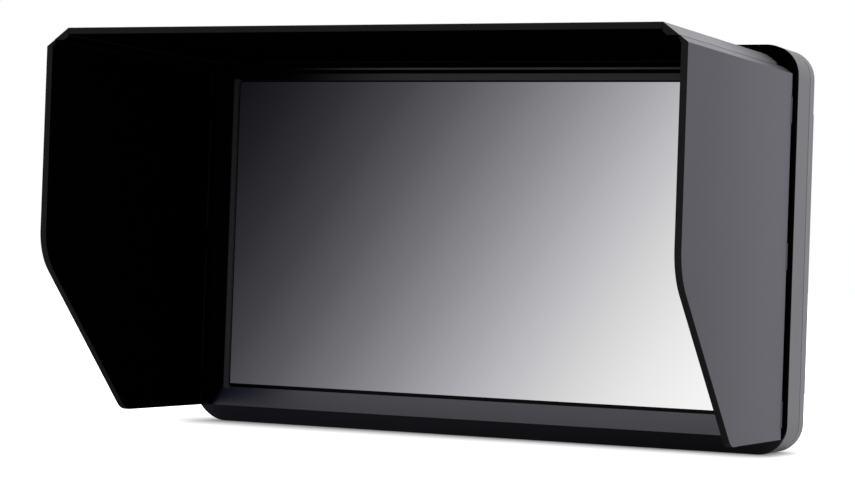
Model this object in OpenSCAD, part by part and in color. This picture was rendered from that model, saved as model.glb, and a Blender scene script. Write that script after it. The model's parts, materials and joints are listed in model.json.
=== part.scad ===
/* [Screen] */
// Width of the picture area
active_w = 154.9; // [140:0.1:170]
// Height of the picture area
active_h = 87.2; // [80:0.1:96]
// Black border of the panel beside and above the picture
panel_border = 3.2; // [2.6:0.1:4]
// Black border of the panel below the picture, over its driver edge
panel_foot = 5; // [4:0.1:6]
// Thickness of the panel glass
panel_t = 1.4; // [1:0.1:1.8]
// Thickness of the foam gasket round the picture
gasket_t = 0.3; // [0.2:0.05:0.5]
// Thickness of the light guide
guide_t = 2.1; // [1.6:0.1:2.6]
// Sheet thickness of the backlight tray
tray_t = 0.5; // [0.4:0.1:0.8]

/* [Body] */
// Body edge to the picture, left and right
side_margin = 10.55; // [10:0.05:16]
// Body underside to the picture
chin = 11; // [10.6:0.1:16]
// Picture to the top of the body
brow = 9.8; // [9.6:0.1:14]
// Radius of the body corners seen from the front
corner_r = 8; // [6:0.5:11]
// Depth of the black bezel at the side
bezel_d = 2; // [1.9:0.1:2.6]
// Thickness of the bezel lip over the panel
lip_t = 0.8; // [0.6:0.1:0.9]
// Height of the bevel along the foot of the bezel
bevel_h = 4.6; // [3:0.1:5]
// Depth of the grey middle band
band_d = 10.8; // [10.6:0.1:14]
// Depth of the rear cover at its rim
cover_d = 5; // [4.6:0.1:8]
// Height of the raised back over the rim
back_raise = 2.4; // [1.5:0.1:4]
// Wall of the middle band and of the rear cover
wall = 2; // [1.6:0.1:2.2]
// Bezel front to the axis of the tripod thread
tripod_setback = 7.4; // [7:0.1:8]
// Radius of the tripod thread, a quarter-inch screw
tripod_r = 3.2; // [3.1:0.05:3.3]
// Depth of the tripod thread
tripod_l = 7.5; // [6:0.1:7.6]

/* [Hood] */
// Reach of the hood in front of its side hinges
hood_reach = 84.8; // [60:0.1:84.8]
// Thickness of the hood plates
plate_t = 1.8; // [1.5:0.1:2]
// Hood set in from the body side
hood_inset = 0.6; // [0.2:0.1:1]
// Hood top below the body top
hood_drop = 3; // [2.6:0.1:4]
// Width of the slanted corner of the hood
corner_w = 6.4; // [5:0.1:8]
// Height of the slanted corner of the hood
corner_h = 4.8; // [4:0.1:6]
// Hood side underside above the body underside
side_foot = 4.5; // [4:0.1:8]
// Upright part of the hood side's front edge, from the foot of the slope
slope_top = 46.1; // [35:0.1:60]
// Slope foot in front of the side hinge
slope_foot = 42.1; // [25:0.1:50]
// Radius of the hinge barrels
barrel_r = 1.2; // [1.1:0.05:1.3]
// Radius of the hinge pins
pin_r = 0.6; // [0.5:0.05:0.65]

/* [Keys and ports] */
// Radius of a key cap
key_r = 2.3; // [2:0.1:2.6]
// Distance between key caps
key_pitch = 9; // [8:0.1:9.4]
// Travel of a key
key_travel = 0.5; // [0.3:0.05:0.6]
// Radius of the headphone socket
phone_r = 1.8; // [1.75:0.05:1.9]
// Radius of the power socket
power_r = 2.9; // [2.8:0.05:3]

/* [Battery plate] */
// Width of the battery plate
plate_w = 46; // [44:0.5:52]
// Height of the battery plate
plate_h = 74; // [70:0.5:80]
// Thickness of the battery plate base
base_t = 3.2; // [3:0.1:4]
// Height of the battery rails over the base
rail_h = 4.6; // [4.4:0.1:6]
// Travel of the battery release slider
slider_travel = 4; // [3:0.1:4.5]

/* [Hidden] */
$fn = 48;

// How far pieces of one solid run into each other, and how far a cut runs past the face it opens
bite = 0.1;
past = 1;
// Clearances, from a press fit to a running one
thread_gap = 0.02;
pin_gap = 0.05;
close = 0.1;
barrel_gap = 0.15;
snug = 0.2;
seam = 0.3;
fold_gap = 0.4;

// Body outline, and the depths of its layers
body_w = active_w + 2 * side_margin;
body_h = active_h + chin + brow;
half_w = body_w / 2;
inner_x = half_w - wall;
mid_z = body_h / 2;
picture_top = chin + active_h;
chassis_t = 1.2;
y_front = -tripod_setback;
y_lip = y_front + lip_t;
y_gasket = y_lip + gasket_t;
y_panel = y_gasket + panel_t;
y_bezel = y_front + bezel_d;
y_guide = y_panel + close;
y_tray = y_guide + guide_t + tray_t;
y_plate = y_tray + chassis_t;
y_band = y_bezel + band_d;
y_rim = y_band + cover_d;
y_back = y_rim + back_raise;
y_base = y_back + base_t;

// Raised back of the rear cover
raise_low = 12.2;
raise_high = 13.8;
raise_inset = 0.5;
raise_r = 4;
raise_chamfer = 1;
rim_chamfer = 0.8;
spigot_d = 0.6;
spigot_t = 1;

// Panel, window and backlight
panel_w = active_w + 2 * panel_border;
panel_low = chin - panel_foot;
panel_high = picture_top + panel_border;
panel_r = 0.8;
window = 1;
window_top = 0.4;
window_r = 1;
tray_side = 2.2;
tray_over = 2;
tray_r = 1;
tray_low = chin - tray_over;
tray_high = picture_top + tray_over;
tray_w = active_w + 2 * tray_side;
led_n = 24;
led_base_t = 0.5;
led_cell_t = 0.4;

// Keys on the top wall, over a board with their switches
key_n = 7;
key_side = 16;
key_span = (key_n - 1) * key_pitch;
key_x = half_w - key_side - key_span;
key_y = y_bezel + band_d / 2;
key_proud = 0.6;
key_chamfer = 0.3;
flange_t = 0.9;
flange_w = 0.7;
stem_l = 1.6;
stem_r = 1;
switch_t = 1.2;
switch_w = 4.4;
switch_r = 1.2;
dome_t = 0.4;
key_under = body_h - wall - close;
key_board_t = 1;
key_board_d = 8;
key_board_z = key_under - flange_t - stem_l - key_travel - close - switch_t;
key_end = 6.5;
post_r = 1.2;

// Main board on its standoffs
board_t = 1.4;
board_gap = 2;
board_rise = 9;
board_drop = 12;
board_past_key = 6;
standoff_l = 4.7;
standoff_r = 2.2;
standoff_side = 18;
standoff_in = 8;
chassis_r = 2;
y_board = y_plate + standoff_l;
y_parts = y_board + board_t;
board_l = -inner_x + board_gap;
board_r = key_x + board_past_key;
board_w = board_r - board_l;
board_low = chin + board_rise;
board_high = body_h - board_drop;
chassis_low = tray_low - fold_gap;
chassis_high = key_board_z - key_board_t - snug;

// Sockets on the left wall, from the bottom up
port_in = 0.4;
port_x = -half_w + port_in;
port_room = 18;
hdmi_w = 15;
hdmi_d = 5.6;
hdmi_l = 11;
hdmi_corner = 2;
hdmi_pitch = 22;
shell_t = 0.4;
tongue_t = 1.6;
phone_w = 6.4;
phone_d = 5.5;
phone_l = 12;
collar_w = 0.7;
power_w = 9.2;
power_d = 6.6;
power_l = 12;
power_end_t = 2.5;
power_pin_r = 1;
jack_set = 0.45;
power_rise = 4;
phone_pitch = 12;
hdmi_rise = 16;
port_y = y_board - hdmi_d / 2;
jack_y = port_y + jack_set;
power_x = -inner_x + close;
power_z = board_low + power_rise;
phone_z = power_z + phone_pitch;
hdmi_low = phone_z + hdmi_rise;
hdmi_high = hdmi_low + hdmi_pitch;

// Screws: radius, head radius and head height, and their cross recess as shares of the head radius
cross_l = 0.6;
cross_w = 0.12;
screw_r = 1.2;
head_r = 2.2;
head_t = 1.6;
head_sink = 2.6;
board_screw_r = 0.9;
board_head_r = 1.9;
board_head_t = 1.1;
plate_screw_r = 1;
plate_head_r = 1.9;
plate_head_t = 1.2;
plate_sink = 1.4;
y_head = y_rim - head_sink;
boss_r = 3.5;
boss_side = 5;
boss_in = 6.5;
plate_boss_r = 2.6;
plate_boss_l = 3;

// Chips, their places as shares of the board's width and height, and the fins over the largest
cpu_at = [0.6, 0.55];
memory_at = [[0.79, 0.45], [0.79, 0.65]];
driver_at = [[0.3, 0.67], [0.4, 0.67]];
power_chip_at = [0.31, 0.19];
cans_at = [[0.43, 0.2], [0.52, 0.2], [0.61, 0.2]];
chip_t = 1.4;
cpu_w = 22;
memory_w = 10;
memory_h = 12;
memory_t = 1;
power_chip_w = 14;
power_chip_t = 2;
driver_w = 8;
driver_h = 10;
driver_t = 1.2;
can_r = 3;
can_h = 3;
hole_side = 6;
hole_in = 5;
plate_hole_x = plate_w / 2 - hole_side;
plate_hole_z = plate_h / 2 - hole_in;
sink_gap = 1.4;
sink_side = 22;
sink_end = 12;
sink_h = 38;
sink_w = board_w - sink_side - sink_end;
sink_high = mid_z + plate_hole_z - plate_boss_r - sink_gap;
sink_base = 2;
fin_t = 1.2;
fin_pitch = 3.2;

// Flat cables
flex_t = 0.2;
flex_w = 26;
flex_side = 32;
flex_x = board_l + flex_side;
flex_hang = 1.6;
flex_up = 4;
key_flex_w = 5;

// Tripod insert in its block
insert_r = 4;
insert_wall = 2.5;
insert_cap = 0.4;
insert_flange_t = 1;
insert_flange_w = 1;

// Battery plate
plate_low = mid_z - plate_h / 2;
plate_high = mid_z + plate_h / 2;
plate_r = 3;
rail_t = 2.2;
rail_x = plate_w / 2 - rail_t / 2;
rail_r = 0.8;
rail_start = 4;
rail_stop = 9;
lip_rise = 6;
lip_drop = 24;
rail_lips = [plate_low + lip_rise, plate_high - lip_drop];
lip_w = 2;
lip_d = 1.4;
lip_l = 13;
block_w = 26;
block_h = 7;
block_t = 4;
block_in = 1;
contact_pitch = 7;
contact_w = 0.8;
contact_h = 7.5;
contact_t = 2.4;
contact_in = 3;
slider_w = 9;
slider_h = 8;
slider_rise = 12;
slider_low = plate_low + slider_rise;
pocket_d = 2.6;
thumb_in = 1;
thumb_low = 0.6;
thumb_high = 2.2;
grip_n = 3;
grip_pitch = 1.2;
grip_w = 0.5;
grip_d = 0.35;
spring_r = 1;
wire_r = 0.2;
spring_foot = 2;
spring_seat = 2;
spring_turns = 8;
turn_steps = 12;
wire_sides = 6;

// Vent slots each side of the battery plate
vent_n = 9;
vent_w = 1.6;
vent_l = 26;
vent_pitch = 4.2;
vent_side = 8;

// Hood frame, let into the bezel and held by pegs
frame_sink = 0.6;
frame_proud = 0.65;
frame_drop = 6.5;
frame_r = 1.5;
peg_r = 0.9;
peg_drop = 3.2;
peg_x = [-half_w / 2, 0, half_w / 2];
hood_w = body_w - 2 * hood_inset;
hood_z = body_h - hood_drop;
frame_back = y_front + frame_sink;
frame_front = y_front - frame_proud;
frame_side = hood_w / 2 - plate_t - snug;
frame_low = bevel_h + snug;
frame_top = body_h - frame_drop;

// Hood plates and the hinges that they fold on
slope = corner_h / corner_w;
side_top = hood_z - corner_h;
side_top_in = side_top + plate_t * slope;
strip_z = side_top_in + seam;
strip_x = hood_w / 2 - corner_w;
side_y = frame_front - barrel_gap - barrel_r;
side_x = hood_w / 2 - barrel_r;
top_z = hood_z - barrel_r;
top_y = side_y - barrel_r - fold_gap - (top_z - strip_z);
ledge_y = top_y + barrel_r + barrel_gap;
hood_y = side_y - hood_reach;
knee_r = 15;
foot_r = 6;
knuckle_l = 7;
knuckle_in = 6;
pin_in = 0.5;
bore_in = 0.3;
barrel_in = 1;
top_span = strip_x - barrel_in;
side_knuckles = [side_foot + knuckle_in / 2, (side_foot + side_top - knuckle_l) / 2,
    side_top - knuckle_l - knuckle_in];
top_knuckles = [-top_span + knuckle_in, -knuckle_l / 2, top_span - knuckle_in - knuckle_l];

// Flat rounded rectangle centred across, from low to high
module rrect(w, low, high, r) {
    translate([-w / 2 + r, low]) square([w - 2 * r, high - low]);
    translate([-w / 2, low + r]) square([w, high - low - 2 * r]);
    for (x = [-w / 2 + r, w / 2 - r], z = [low + r, high - r]) translate([x, z]) circle(r);
}
// Raise a front view outline from one depth to another
module along_y(y0, y1) {
    translate([0, y1, 0]) rotate([90, 0, 0]) linear_extrude(y1 - y0) children();
}
// Raise a side view outline (depth, height) from one x to another
module along_x(x0, x1) {
    translate([x0, 0, 0]) rotate([90, 0, 90]) linear_extrude(x1 - x0) children();
}
// Round bar along y
module bar_y(r, y0, y1) {
    translate([0, y0, 0]) rotate([-90, 0, 0]) cylinder(h = y1 - y0, r = r);
}
// Round bar along x
module bar_x(r, x0, x1) {
    translate([x0, 0, 0]) rotate([0, 90, 0]) cylinder(h = x1 - x0, r = r);
}
// Rounded slab whose rear edge is chamfered by c
module chamfered_slab(w, low, high, r, y0, y1, c) {
    along_y(y0, y1 - c) rrect(w, low, high, r);
    along_x(-w / 2 + r, w / 2 - r)
        polygon([[y1 - c, low], [y1, low + c], [y1, high - c], [y1 - c, high]]);
    translate([0, 0, low + r]) linear_extrude(high - low - 2 * r)
        polygon([[-w / 2, y1 - c], [-w / 2 + c, y1], [w / 2 - c, y1], [w / 2, y1 - c]]);
    for (x = [-w / 2 + r, w / 2 - r], z = [low + r, high - r])
        translate([x, y1 - c, z]) rotate([-90, 0, 0]) cylinder(h = c, r1 = r, r2 = r - c);
}
// Screw along y with a cross recess, its head seated at depth y
module screw(r, l, head, t, y) {
    arm = head * cross_l;
    slot = head * cross_w;
    difference() {
        union() {
            bar_y(r, y - l, y);
            bar_y(head, y, y + t);
        }
        for (a = [0, 90]) rotate([0, a, 0]) translate([-arm, y + t / 2, -slot])
            cube([2 * arm, t, 2 * slot]);
    }
}
// Places of the case screws, the standoffs and the battery plate's screws
module at_bosses() {
    for (x = [-half_w + boss_side, half_w - boss_side], z = [boss_in, body_h - boss_in])
        translate([x, 0, z]) children();
}
module at_standoffs() {
    for (x = [board_l + standoff_side, board_r - standoff_in],
        z = [board_low + standoff_in, board_high - standoff_in]) translate([x, 0, z]) children();
}
module at_plate_holes() {
    for (x = [-plate_hole_x, plate_hole_x], z = [-plate_hole_z, plate_hole_z])
        translate([x, 0, mid_z + z]) children();
}
module at_pegs() {
    for (x = peg_x) translate([x, 0, body_h - peg_drop]) children();
}
// Outlines seen from the front, grown by a gap
module panel_outline(gap) {
    rrect(panel_w + 2 * gap, panel_low - gap, panel_high + gap, panel_r + gap);
}
module window_outline() {
    rrect(active_w + 2 * window, chin - window, picture_top + window_top, window_r);
}
module frame_outline(gap) {
    difference() {
        rrect(body_w + 2 * bite, -bite, body_h + bite, corner_r);
        rrect(2 * (frame_side - gap), -body_h, frame_top - gap, frame_r);
        translate([-body_w, -body_h]) square([2 * body_w, body_h + frame_low - gap]);
    }
}

module front_bezel() {
    color([0.07, 0.07, 0.08]) difference() {
        along_y(y_front, y_bezel) rrect(body_w, 0, body_h, corner_r);
        along_y(y_front - past, frame_back + pin_gap) frame_outline(close);
        at_pegs() bar_y(peg_r + close, y_front, y_bezel + past);
        along_x(-body_w, body_w) polygon([[y_front - past, -past],
            [y_front - past, bevel_h + bevel_h / bezel_d], [y_front, bevel_h], [y_bezel, 0],
            [y_bezel, -past]]);
        along_y(y_front - past, y_bezel) window_outline();
        along_y(y_lip, y_bezel + past) panel_outline(snug);
    }
}
module lcd_gasket() {
    color([0.05, 0.05, 0.05]) along_y(y_lip, y_gasket) difference() {
        panel_outline(0);
        window_outline();
    }
}
module lcd_panel() {
    color([0.6, 0.6, 0.62]) along_y(y_gasket, y_panel) panel_outline(0);
}
module light_guide() {
    in = tray_t + snug;
    color([0.93, 0.95, 0.97]) along_y(y_guide, y_guide + guide_t)
        rrect(tray_w - 2 * in, chin, tray_high - in, panel_r);
}
// Row of light emitting diodes under the foot of the light guide
module led_strip() {
    low = tray_low + tray_t + close;
    cell = active_w / led_n;
    color([0.95, 0.94, 0.85]) {
        translate([-active_w / 2, y_guide + close, low])
            cube([active_w, guide_t - 2 * close, led_base_t]);
        for (i = [0:led_n - 1])
            translate([-active_w / 2 + (i + 0.25) * cell, y_guide + seam, low + led_base_t])
                cube([cell / 2, guide_t - 2 * seam, led_cell_t]);
    }
}
module backlight_tray() {
    color([0.78, 0.79, 0.8]) difference() {
        along_y(y_guide, y_tray) rrect(tray_w, tray_low, tray_high, tray_r);
        along_y(y_guide - past, y_tray - tray_t)
            rrect(tray_w - 2 * tray_t, tray_low + tray_t, tray_high - tray_t, tray_r - tray_t);
    }
}
// Steel plate behind the backlight, its standoffs, and the room that the sockets and the cable need
module chassis_plate() {
    cut_t = chassis_t + 2 * past;
    ports_low = power_z - power_w / 2 - past;
    ports_high = hdmi_high + hdmi_w / 2 + past;
    color([0.72, 0.73, 0.75]) difference() {
        union() {
            along_y(y_tray, y_plate)
                rrect(2 * (inner_x - fold_gap), chassis_low, chassis_high, chassis_r);
            at_standoffs() bar_y(standoff_r, y_plate - bite, y_board);
        }
        at_standoffs() bar_y(board_screw_r + thread_gap, y_tray - past, y_board + past);
        translate([-half_w, y_tray - past, ports_low])
            cube([port_room, cut_t, ports_high - ports_low]);
        translate([flex_x - past, y_tray - past, chassis_low - past])
            cube([flex_w + 2 * past, cut_t, flex_up + 2 * past]);
    }
}
module main_board() {
    color([0.05, 0.28, 0.14]) difference() {
        along_y(y_board, y_parts) translate([board_l, board_low])
            square([board_w, board_high - board_low]);
        at_standoffs() bar_y(board_screw_r + snug, y_board - past, y_parts + past);
        translate([board_l - past, y_board - past, board_low - past])
            cube([power_x + power_l - board_l + 2 * past, board_t + 2 * past,
                power_z + power_w / 2 + 2 * past - board_low]);
    }
}
// Place on the board at a share of its width and height
module on_board(at) {
    translate([board_l + at[0] * board_w, y_parts, board_low + at[1] * (board_high - board_low)])
        children();
}
module chip(w, h, t) {
    translate([-w / 2, 0, -h / 2]) cube([w, t, h]);
}
module board_chips() {
    color([0.09, 0.09, 0.1]) {
        on_board(cpu_at) chip(cpu_w, cpu_w, chip_t);
        for (at = memory_at) on_board(at) chip(memory_w, memory_h, memory_t);
        for (at = driver_at) on_board(at) chip(driver_w, driver_h, driver_t);
        on_board(power_chip_at) chip(power_chip_w, power_chip_w, power_chip_t);
        for (at = cans_at) on_board(at) bar_y(can_r, 0, can_h);
    }
}
module board_screws() {
    color([0.7, 0.7, 0.72]) at_standoffs()
        screw(board_screw_r, y_parts - y_tray - fold_gap, board_head_r, board_head_t, y_parts);
}
module heat_sink() {
    y = y_parts + chip_t;
    fins = floor((sink_w - fin_t) / fin_pitch);
    color([0.75, 0.76, 0.78]) translate([board_l + sink_side, y, sink_high - sink_h]) {
        cube([sink_w, sink_base, sink_h]);
        for (i = [0:fins]) translate([i * fin_pitch, sink_base - bite, 0])
            cube([fin_t, y_back - wall - snug - y - sink_base + bite, sink_h]);
    }
}
// Flat cable from the foot of the panel, folded under the plate and up to the board
module display_flex() {
    low = panel_low - flex_hang;
    rear = y_plate + seam;
    up = board_low;
    end = board_low + flex_up;
    color([0.75, 0.5, 0.15]) along_x(flex_x, flex_x + flex_w) polygon([
        [y_panel, tray_low - fold_gap], [y_panel, low], [rear + flex_t, low],
        [rear + flex_t, up], [y_board, end - past], [y_board, end],
        [y_board - flex_t, end], [rear, up + flex_t], [rear, low + flex_t],
        [y_panel + flex_t, low + flex_t], [y_panel + flex_t, tray_low - fold_gap]]);
}
module key_board() {
    color([0.05, 0.28, 0.14])
        translate([key_x - key_end, key_y - key_board_d / 2, key_board_z - key_board_t])
            cube([key_span + 2 * key_end, key_board_d, key_board_t]);
}
module key_switches() {
    color([0.8, 0.8, 0.8]) for (i = [0:key_n - 1])
        translate([key_x + i * key_pitch, key_y, key_board_z]) {
            translate([-switch_w / 2, -switch_w / 2, 0])
                cube([switch_w, switch_w, switch_t - dome_t]);
            cylinder(h = switch_t, r = switch_r);
        }
}
// Flat cable from the key board down the plate's back and across to the main board
module key_flex() {
    low = board_high - standoff_in;
    high = key_board_z - key_board_t;
    color([0.75, 0.5, 0.15]) along_x(board_r - key_flex_w - snug, board_r - snug)
        polygon([[y_plate, high], [y_plate, low], [y_board, low], [y_board, low + flex_t],
            [y_plate + flex_t, low + flex_t], [y_plate + flex_t, high]]);
}

// Outline of a video socket, its two front corners cut off, drawn inside the shell by s
module hdmi_outline(s) {
    d = hdmi_d / 2 - s;
    h = hdmi_w / 2 - s;
    cut = hdmi_corner - s * (2 - sqrt(2));
    polygon([[-d, -h + cut], [-d + cut, -h], [d, -h], [d, h], [-d + cut, h], [-d, h - cut]]);
}
// Metal shell of a video socket with its contact tongue, its mouth at the left wall
module hdmi_port(z) {
    color([0.75, 0.75, 0.76]) translate([port_x, port_y, z]) difference() {
        along_x(0, hdmi_l) hdmi_outline(0);
        along_x(-past, hdmi_l - shell_t) hdmi_outline(shell_t);
    }
    color([0.06, 0.06, 0.06])
        translate([port_x + past, port_y - tongue_t / 2, z - hdmi_w / 2 + hdmi_corner + shell_t])
            cube([hdmi_l - past - shell_t, tongue_t, hdmi_w - 2 * (hdmi_corner + shell_t)]);
}
module hdmi_input() { hdmi_port(hdmi_low); }
module hdmi_output() { hdmi_port(hdmi_high); }
module headphone_jack() {
    color([0.06, 0.06, 0.06]) translate([port_x, port_y, phone_z]) difference() {
        union() {
            translate([wall, y_board - port_y - phone_d, -phone_w / 2])
                cube([phone_l, phone_d, phone_w]);
            bar_x(phone_r + collar_w, 0, wall + bite);
        }
        bar_x(phone_r, -past, phone_l);
    }
}
module power_jack() {
    end = power_l - power_end_t;
    translate([power_x, jack_y, power_z]) {
        color([0.06, 0.06, 0.06]) difference() {
            translate([0, -power_d / 2, -power_w / 2]) cube([power_l, power_d, power_w]);
            bar_x(power_r, -past, end);
        }
        color([0.8, 0.75, 0.5]) bar_x(power_pin_r, past / 2, end + bite);
    }
}

// Grey band round the body, with its screw bosses, the block of the tripod insert and the
// openings for the keys and the sockets
module middle_frame() {
    board_ends = [key_x - key_end + post_r + snug, key_x + key_span + key_end - post_r - snug];
    insert_w = 2 * (insert_r + insert_wall);
    color([0.5, 0.5, 0.52]) difference() {
        union() {
            difference() {
                along_y(y_bezel, y_band) rrect(body_w, 0, body_h, corner_r);
                along_y(y_bezel - past, y_band + past)
                    rrect(2 * inner_x, wall, body_h - wall, corner_r - wall);
            }
            intersection() {
                at_bosses() bar_y(boss_r, y_plate, y_band - seam);
                along_y(y_bezel, y_band)
                    rrect(body_w - wall, wall / 2, body_h - wall / 2, corner_r - wall / 2);
            }
            translate([-insert_w / 2, y_panel + seam, wall - bite])
                cube([insert_w, y_band - spigot_d - y_panel - 2 * seam,
                    tripod_l + insert_cap - wall]);
            for (x = board_ends) translate([x, key_y, key_board_z])
                cylinder(h = body_h - wall - key_board_z + bite, r = post_r);
        }
        at_bosses() bar_y(screw_r + thread_gap, y_plate - past, y_band + past);
        translate([0, 0, -past]) cylinder(h = tripod_l + past, r = insert_r);
        translate([0, 0, -past])
            cylinder(h = past + insert_flange_t, r = insert_r + insert_flange_w);
        for (i = [0:key_n - 1]) translate([key_x + i * key_pitch, key_y, body_h - wall - past])
            cylinder(h = wall + 2 * past, r = key_r + close);
        for (z = [hdmi_low, hdmi_high]) along_x(-half_w - past, -inner_x + past)
            translate([port_y, z])
                square([hdmi_d + 2 * seam, hdmi_w + 2 * seam], center = true);
        translate([0, port_y, phone_z])
            bar_x(phone_r + collar_w + close, -half_w - past, -inner_x + past);
        translate([0, jack_y, power_z]) bar_x(power_r + snug, -half_w - past, -inner_x + past);
    }
}
module tripod_insert() {
    color([0.72, 0.72, 0.73]) difference() {
        union() {
            cylinder(h = tripod_l, r = insert_r);
            cylinder(h = insert_flange_t, r = insert_r + insert_flange_w);
        }
        translate([0, 0, -past]) cylinder(h = tripod_l + 2 * past, r = tripod_r);
    }
}

// Outer form of the rear cover: the rim and the raised back, both with chamfered edges
module cover_form() {
    chamfered_slab(body_w, 0, body_h, corner_r, y_band + seam, y_rim, rim_chamfer);
    chamfered_slab(body_w - 2 * raise_inset, raise_low, body_h - raise_high, raise_r,
        y_rim - past, y_back, raise_chamfer);
}
module cover_hollow() {
    along_y(y_band, y_rim - wall) rrect(2 * inner_x, wall, body_h - wall, corner_r - wall);
    along_y(y_band, y_back - wall)
        rrect(2 * (inner_x - raise_inset - past / 2), raise_low + wall, body_h - raise_high - wall,
            raise_r - raise_chamfer);
}
// Thin lip that centres the cover in the middle band, cut away round the bosses
module cover_spigot() {
    out = wall + close;
    in = out + spigot_t;
    difference() {
        along_y(y_band - spigot_d, y_band + wall)
            rrect(body_w - 2 * out, out, body_h - out, corner_r - out);
        along_y(y_band - wall, y_band + wall + past)
            rrect(body_w - 2 * in, in, body_h - in, corner_r - in);
        at_bosses() bar_y(boss_r + snug, y_band - wall, y_band);
    }
}
module cover_bosses() {
    intersection() {
        at_bosses() bar_y(boss_r, y_band, y_rim - past);
        along_y(y_band, y_rim)
            rrect(body_w - wall, wall / 2, body_h - wall / 2, corner_r - wall / 2);
    }
    at_plate_holes() bar_y(plate_boss_r, y_back - wall - plate_boss_l, y_back - past);
}
module vent_slot() {
    along_y(y_back - wall - past, y_back + past) {
        square([vent_l - vent_w, vent_w], center = true);
        for (x = [-1, 1]) translate([x * (vent_l - vent_w) / 2, 0]) circle(vent_w / 2);
    }
}
module rear_cover() {
    vent_x = plate_w / 2 + vent_side + vent_l / 2;
    color([0.5, 0.5, 0.52]) difference() {
        union() {
            difference() {
                cover_form();
                cover_hollow();
            }
            cover_spigot();
            cover_bosses();
        }
        at_bosses() {
            bar_y(screw_r + close, y_band - past, y_rim + past);
            bar_y(head_r + snug, y_head, y_back + past);
        }
        at_plate_holes()
            bar_y(plate_screw_r + thread_gap, y_back - wall - plate_boss_l - past, y_back + past);
        for (x = [-vent_x, vent_x], i = [0:vent_n - 1])
            translate([x, 0, mid_z + (i - (vent_n - 1) / 2) * vent_pitch]) vent_slot();
    }
}
module cover_screws() {
    color([0.12, 0.12, 0.13]) at_bosses()
        screw(screw_r, y_head - y_plate - past / 2, head_r, head_t, y_head);
}
module plate_screws() {
    color([0.12, 0.12, 0.13]) at_plate_holes()
        screw(plate_screw_r, base_t - plate_sink + wall + plate_boss_l - past, plate_head_r,
            plate_head_t, y_base - plate_sink);
}

// Battery plate: base, two rails with two hooked lips each, and the contact block
module battery_plate() {
    contact_slot = contact_w + 2 * snug;
    seat_r = spring_r + wire_r + seam;
    color([0.08, 0.08, 0.09]) difference() {
        union() {
            along_y(y_back, y_base) rrect(plate_w, plate_low, plate_high, plate_r);
            for (s = [-1, 1]) {
                translate([s * rail_x, 0, 0]) along_y(y_base - bite, y_base + rail_h)
                    rrect(rail_t, plate_low + rail_start, plate_high - rail_stop, rail_r);
                for (z = rail_lips) translate([s * (rail_x - lip_w / 2), 0, z])
                    along_y(y_base + rail_h - lip_d, y_base + rail_h)
                        rrect(lip_w + rail_t, 0, lip_l, rail_r);
            }
            along_y(y_base - bite, y_base + block_t)
                rrect(block_w, plate_high - block_h - block_in, plate_high - block_in, block_in);
        }
        at_plate_holes() {
            bar_y(plate_screw_r + close, y_back - past, y_base + past);
            bar_y(plate_head_r + snug, y_base - plate_sink, y_base + rail_h + past);
        }
        translate([-slider_w / 2 - snug, y_base - pocket_d, slider_low - slider_travel - snug])
            cube([slider_w + 2 * snug, pocket_d + past, slider_h + slider_travel + 2 * snug]);
        translate([-seat_r, y_base - pocket_d, plate_low + spring_foot])
            cube([2 * seat_r, pocket_d + past, slider_low - plate_low - spring_foot]);
        for (i = [-1:1])
            translate([i * contact_pitch - contact_slot / 2, y_base, plate_high - rail_stop])
                cube([contact_slot, contact_t + 2 * seam, rail_stop - contact_in]);
    }
}
module battery_contacts() {
    color([0.85, 0.65, 0.3]) for (i = [-1:1])
        translate([i * contact_pitch - contact_w / 2, y_base, plate_high - contact_h - contact_in])
            cube([contact_w, contact_t, contact_h]);
}
// Thumb slider that frees the battery, ribbed for grip
module release_slider() {
    y = y_base + close;
    rise = (thumb_high - thumb_low) / (slider_h - 2 * thumb_in);
    color([0.1, 0.1, 0.11]) difference() {
        union() {
            translate([-slider_w / 2, y - pocket_d, slider_low])
                cube([slider_w, pocket_d, slider_h]);
            along_x(-slider_w / 2 + thumb_in, slider_w / 2 - thumb_in)
                translate([y, slider_low]) polygon([[-bite, thumb_in],
                    [-bite, slider_h - thumb_in], [thumb_high, slider_h - thumb_in],
                    [thumb_low, thumb_in]]);
        }
        for (i = [1:grip_n]) translate([-slider_w / 2, y + thumb_low + rise * i * grip_pitch - grip_d,
            slider_low + thumb_in + i * grip_pitch]) cube([slider_w, thumb_high, grip_w]);
        translate([0, y - pocket_d / 2 - bite, slider_low - past])
            cylinder(h = spring_seat + past, r = spring_r + wire_r + close);
    }
}
// One unbroken coil from the pocket floor up into the slider
module release_spring() {
    low = plate_low + spring_foot + wire_r;
    high = slider_low + spring_seat - wire_r;
    n = spring_turns * turn_steps;
    k = wire_sides;
    rings = [for (i = [0:n], j = [0:k - 1])
        let (a = i * 360 / turn_steps, b = j * 360 / k, r = spring_r + wire_r * cos(b))
            [r * cos(a), r * sin(a), low + (high - low) * i / n + wire_r * sin(b)]];
    walls = [for (i = [0:n - 1], j = [0:k - 1], side = [0, 1])
        let (p = i * k + j, q = i * k + (j + 1) % k) side == 0 ? [q, p + k, p] : [q + k, p + k, q]];
    ends = [[for (j = [0:k - 1]) j], [for (j = [k - 1:-1:0]) n * k + j]];
    color([0.7, 0.7, 0.72]) translate([0, y_base - pocket_d / 2, 0])
        polyhedron(rings, concat(walls, ends));
}

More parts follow.
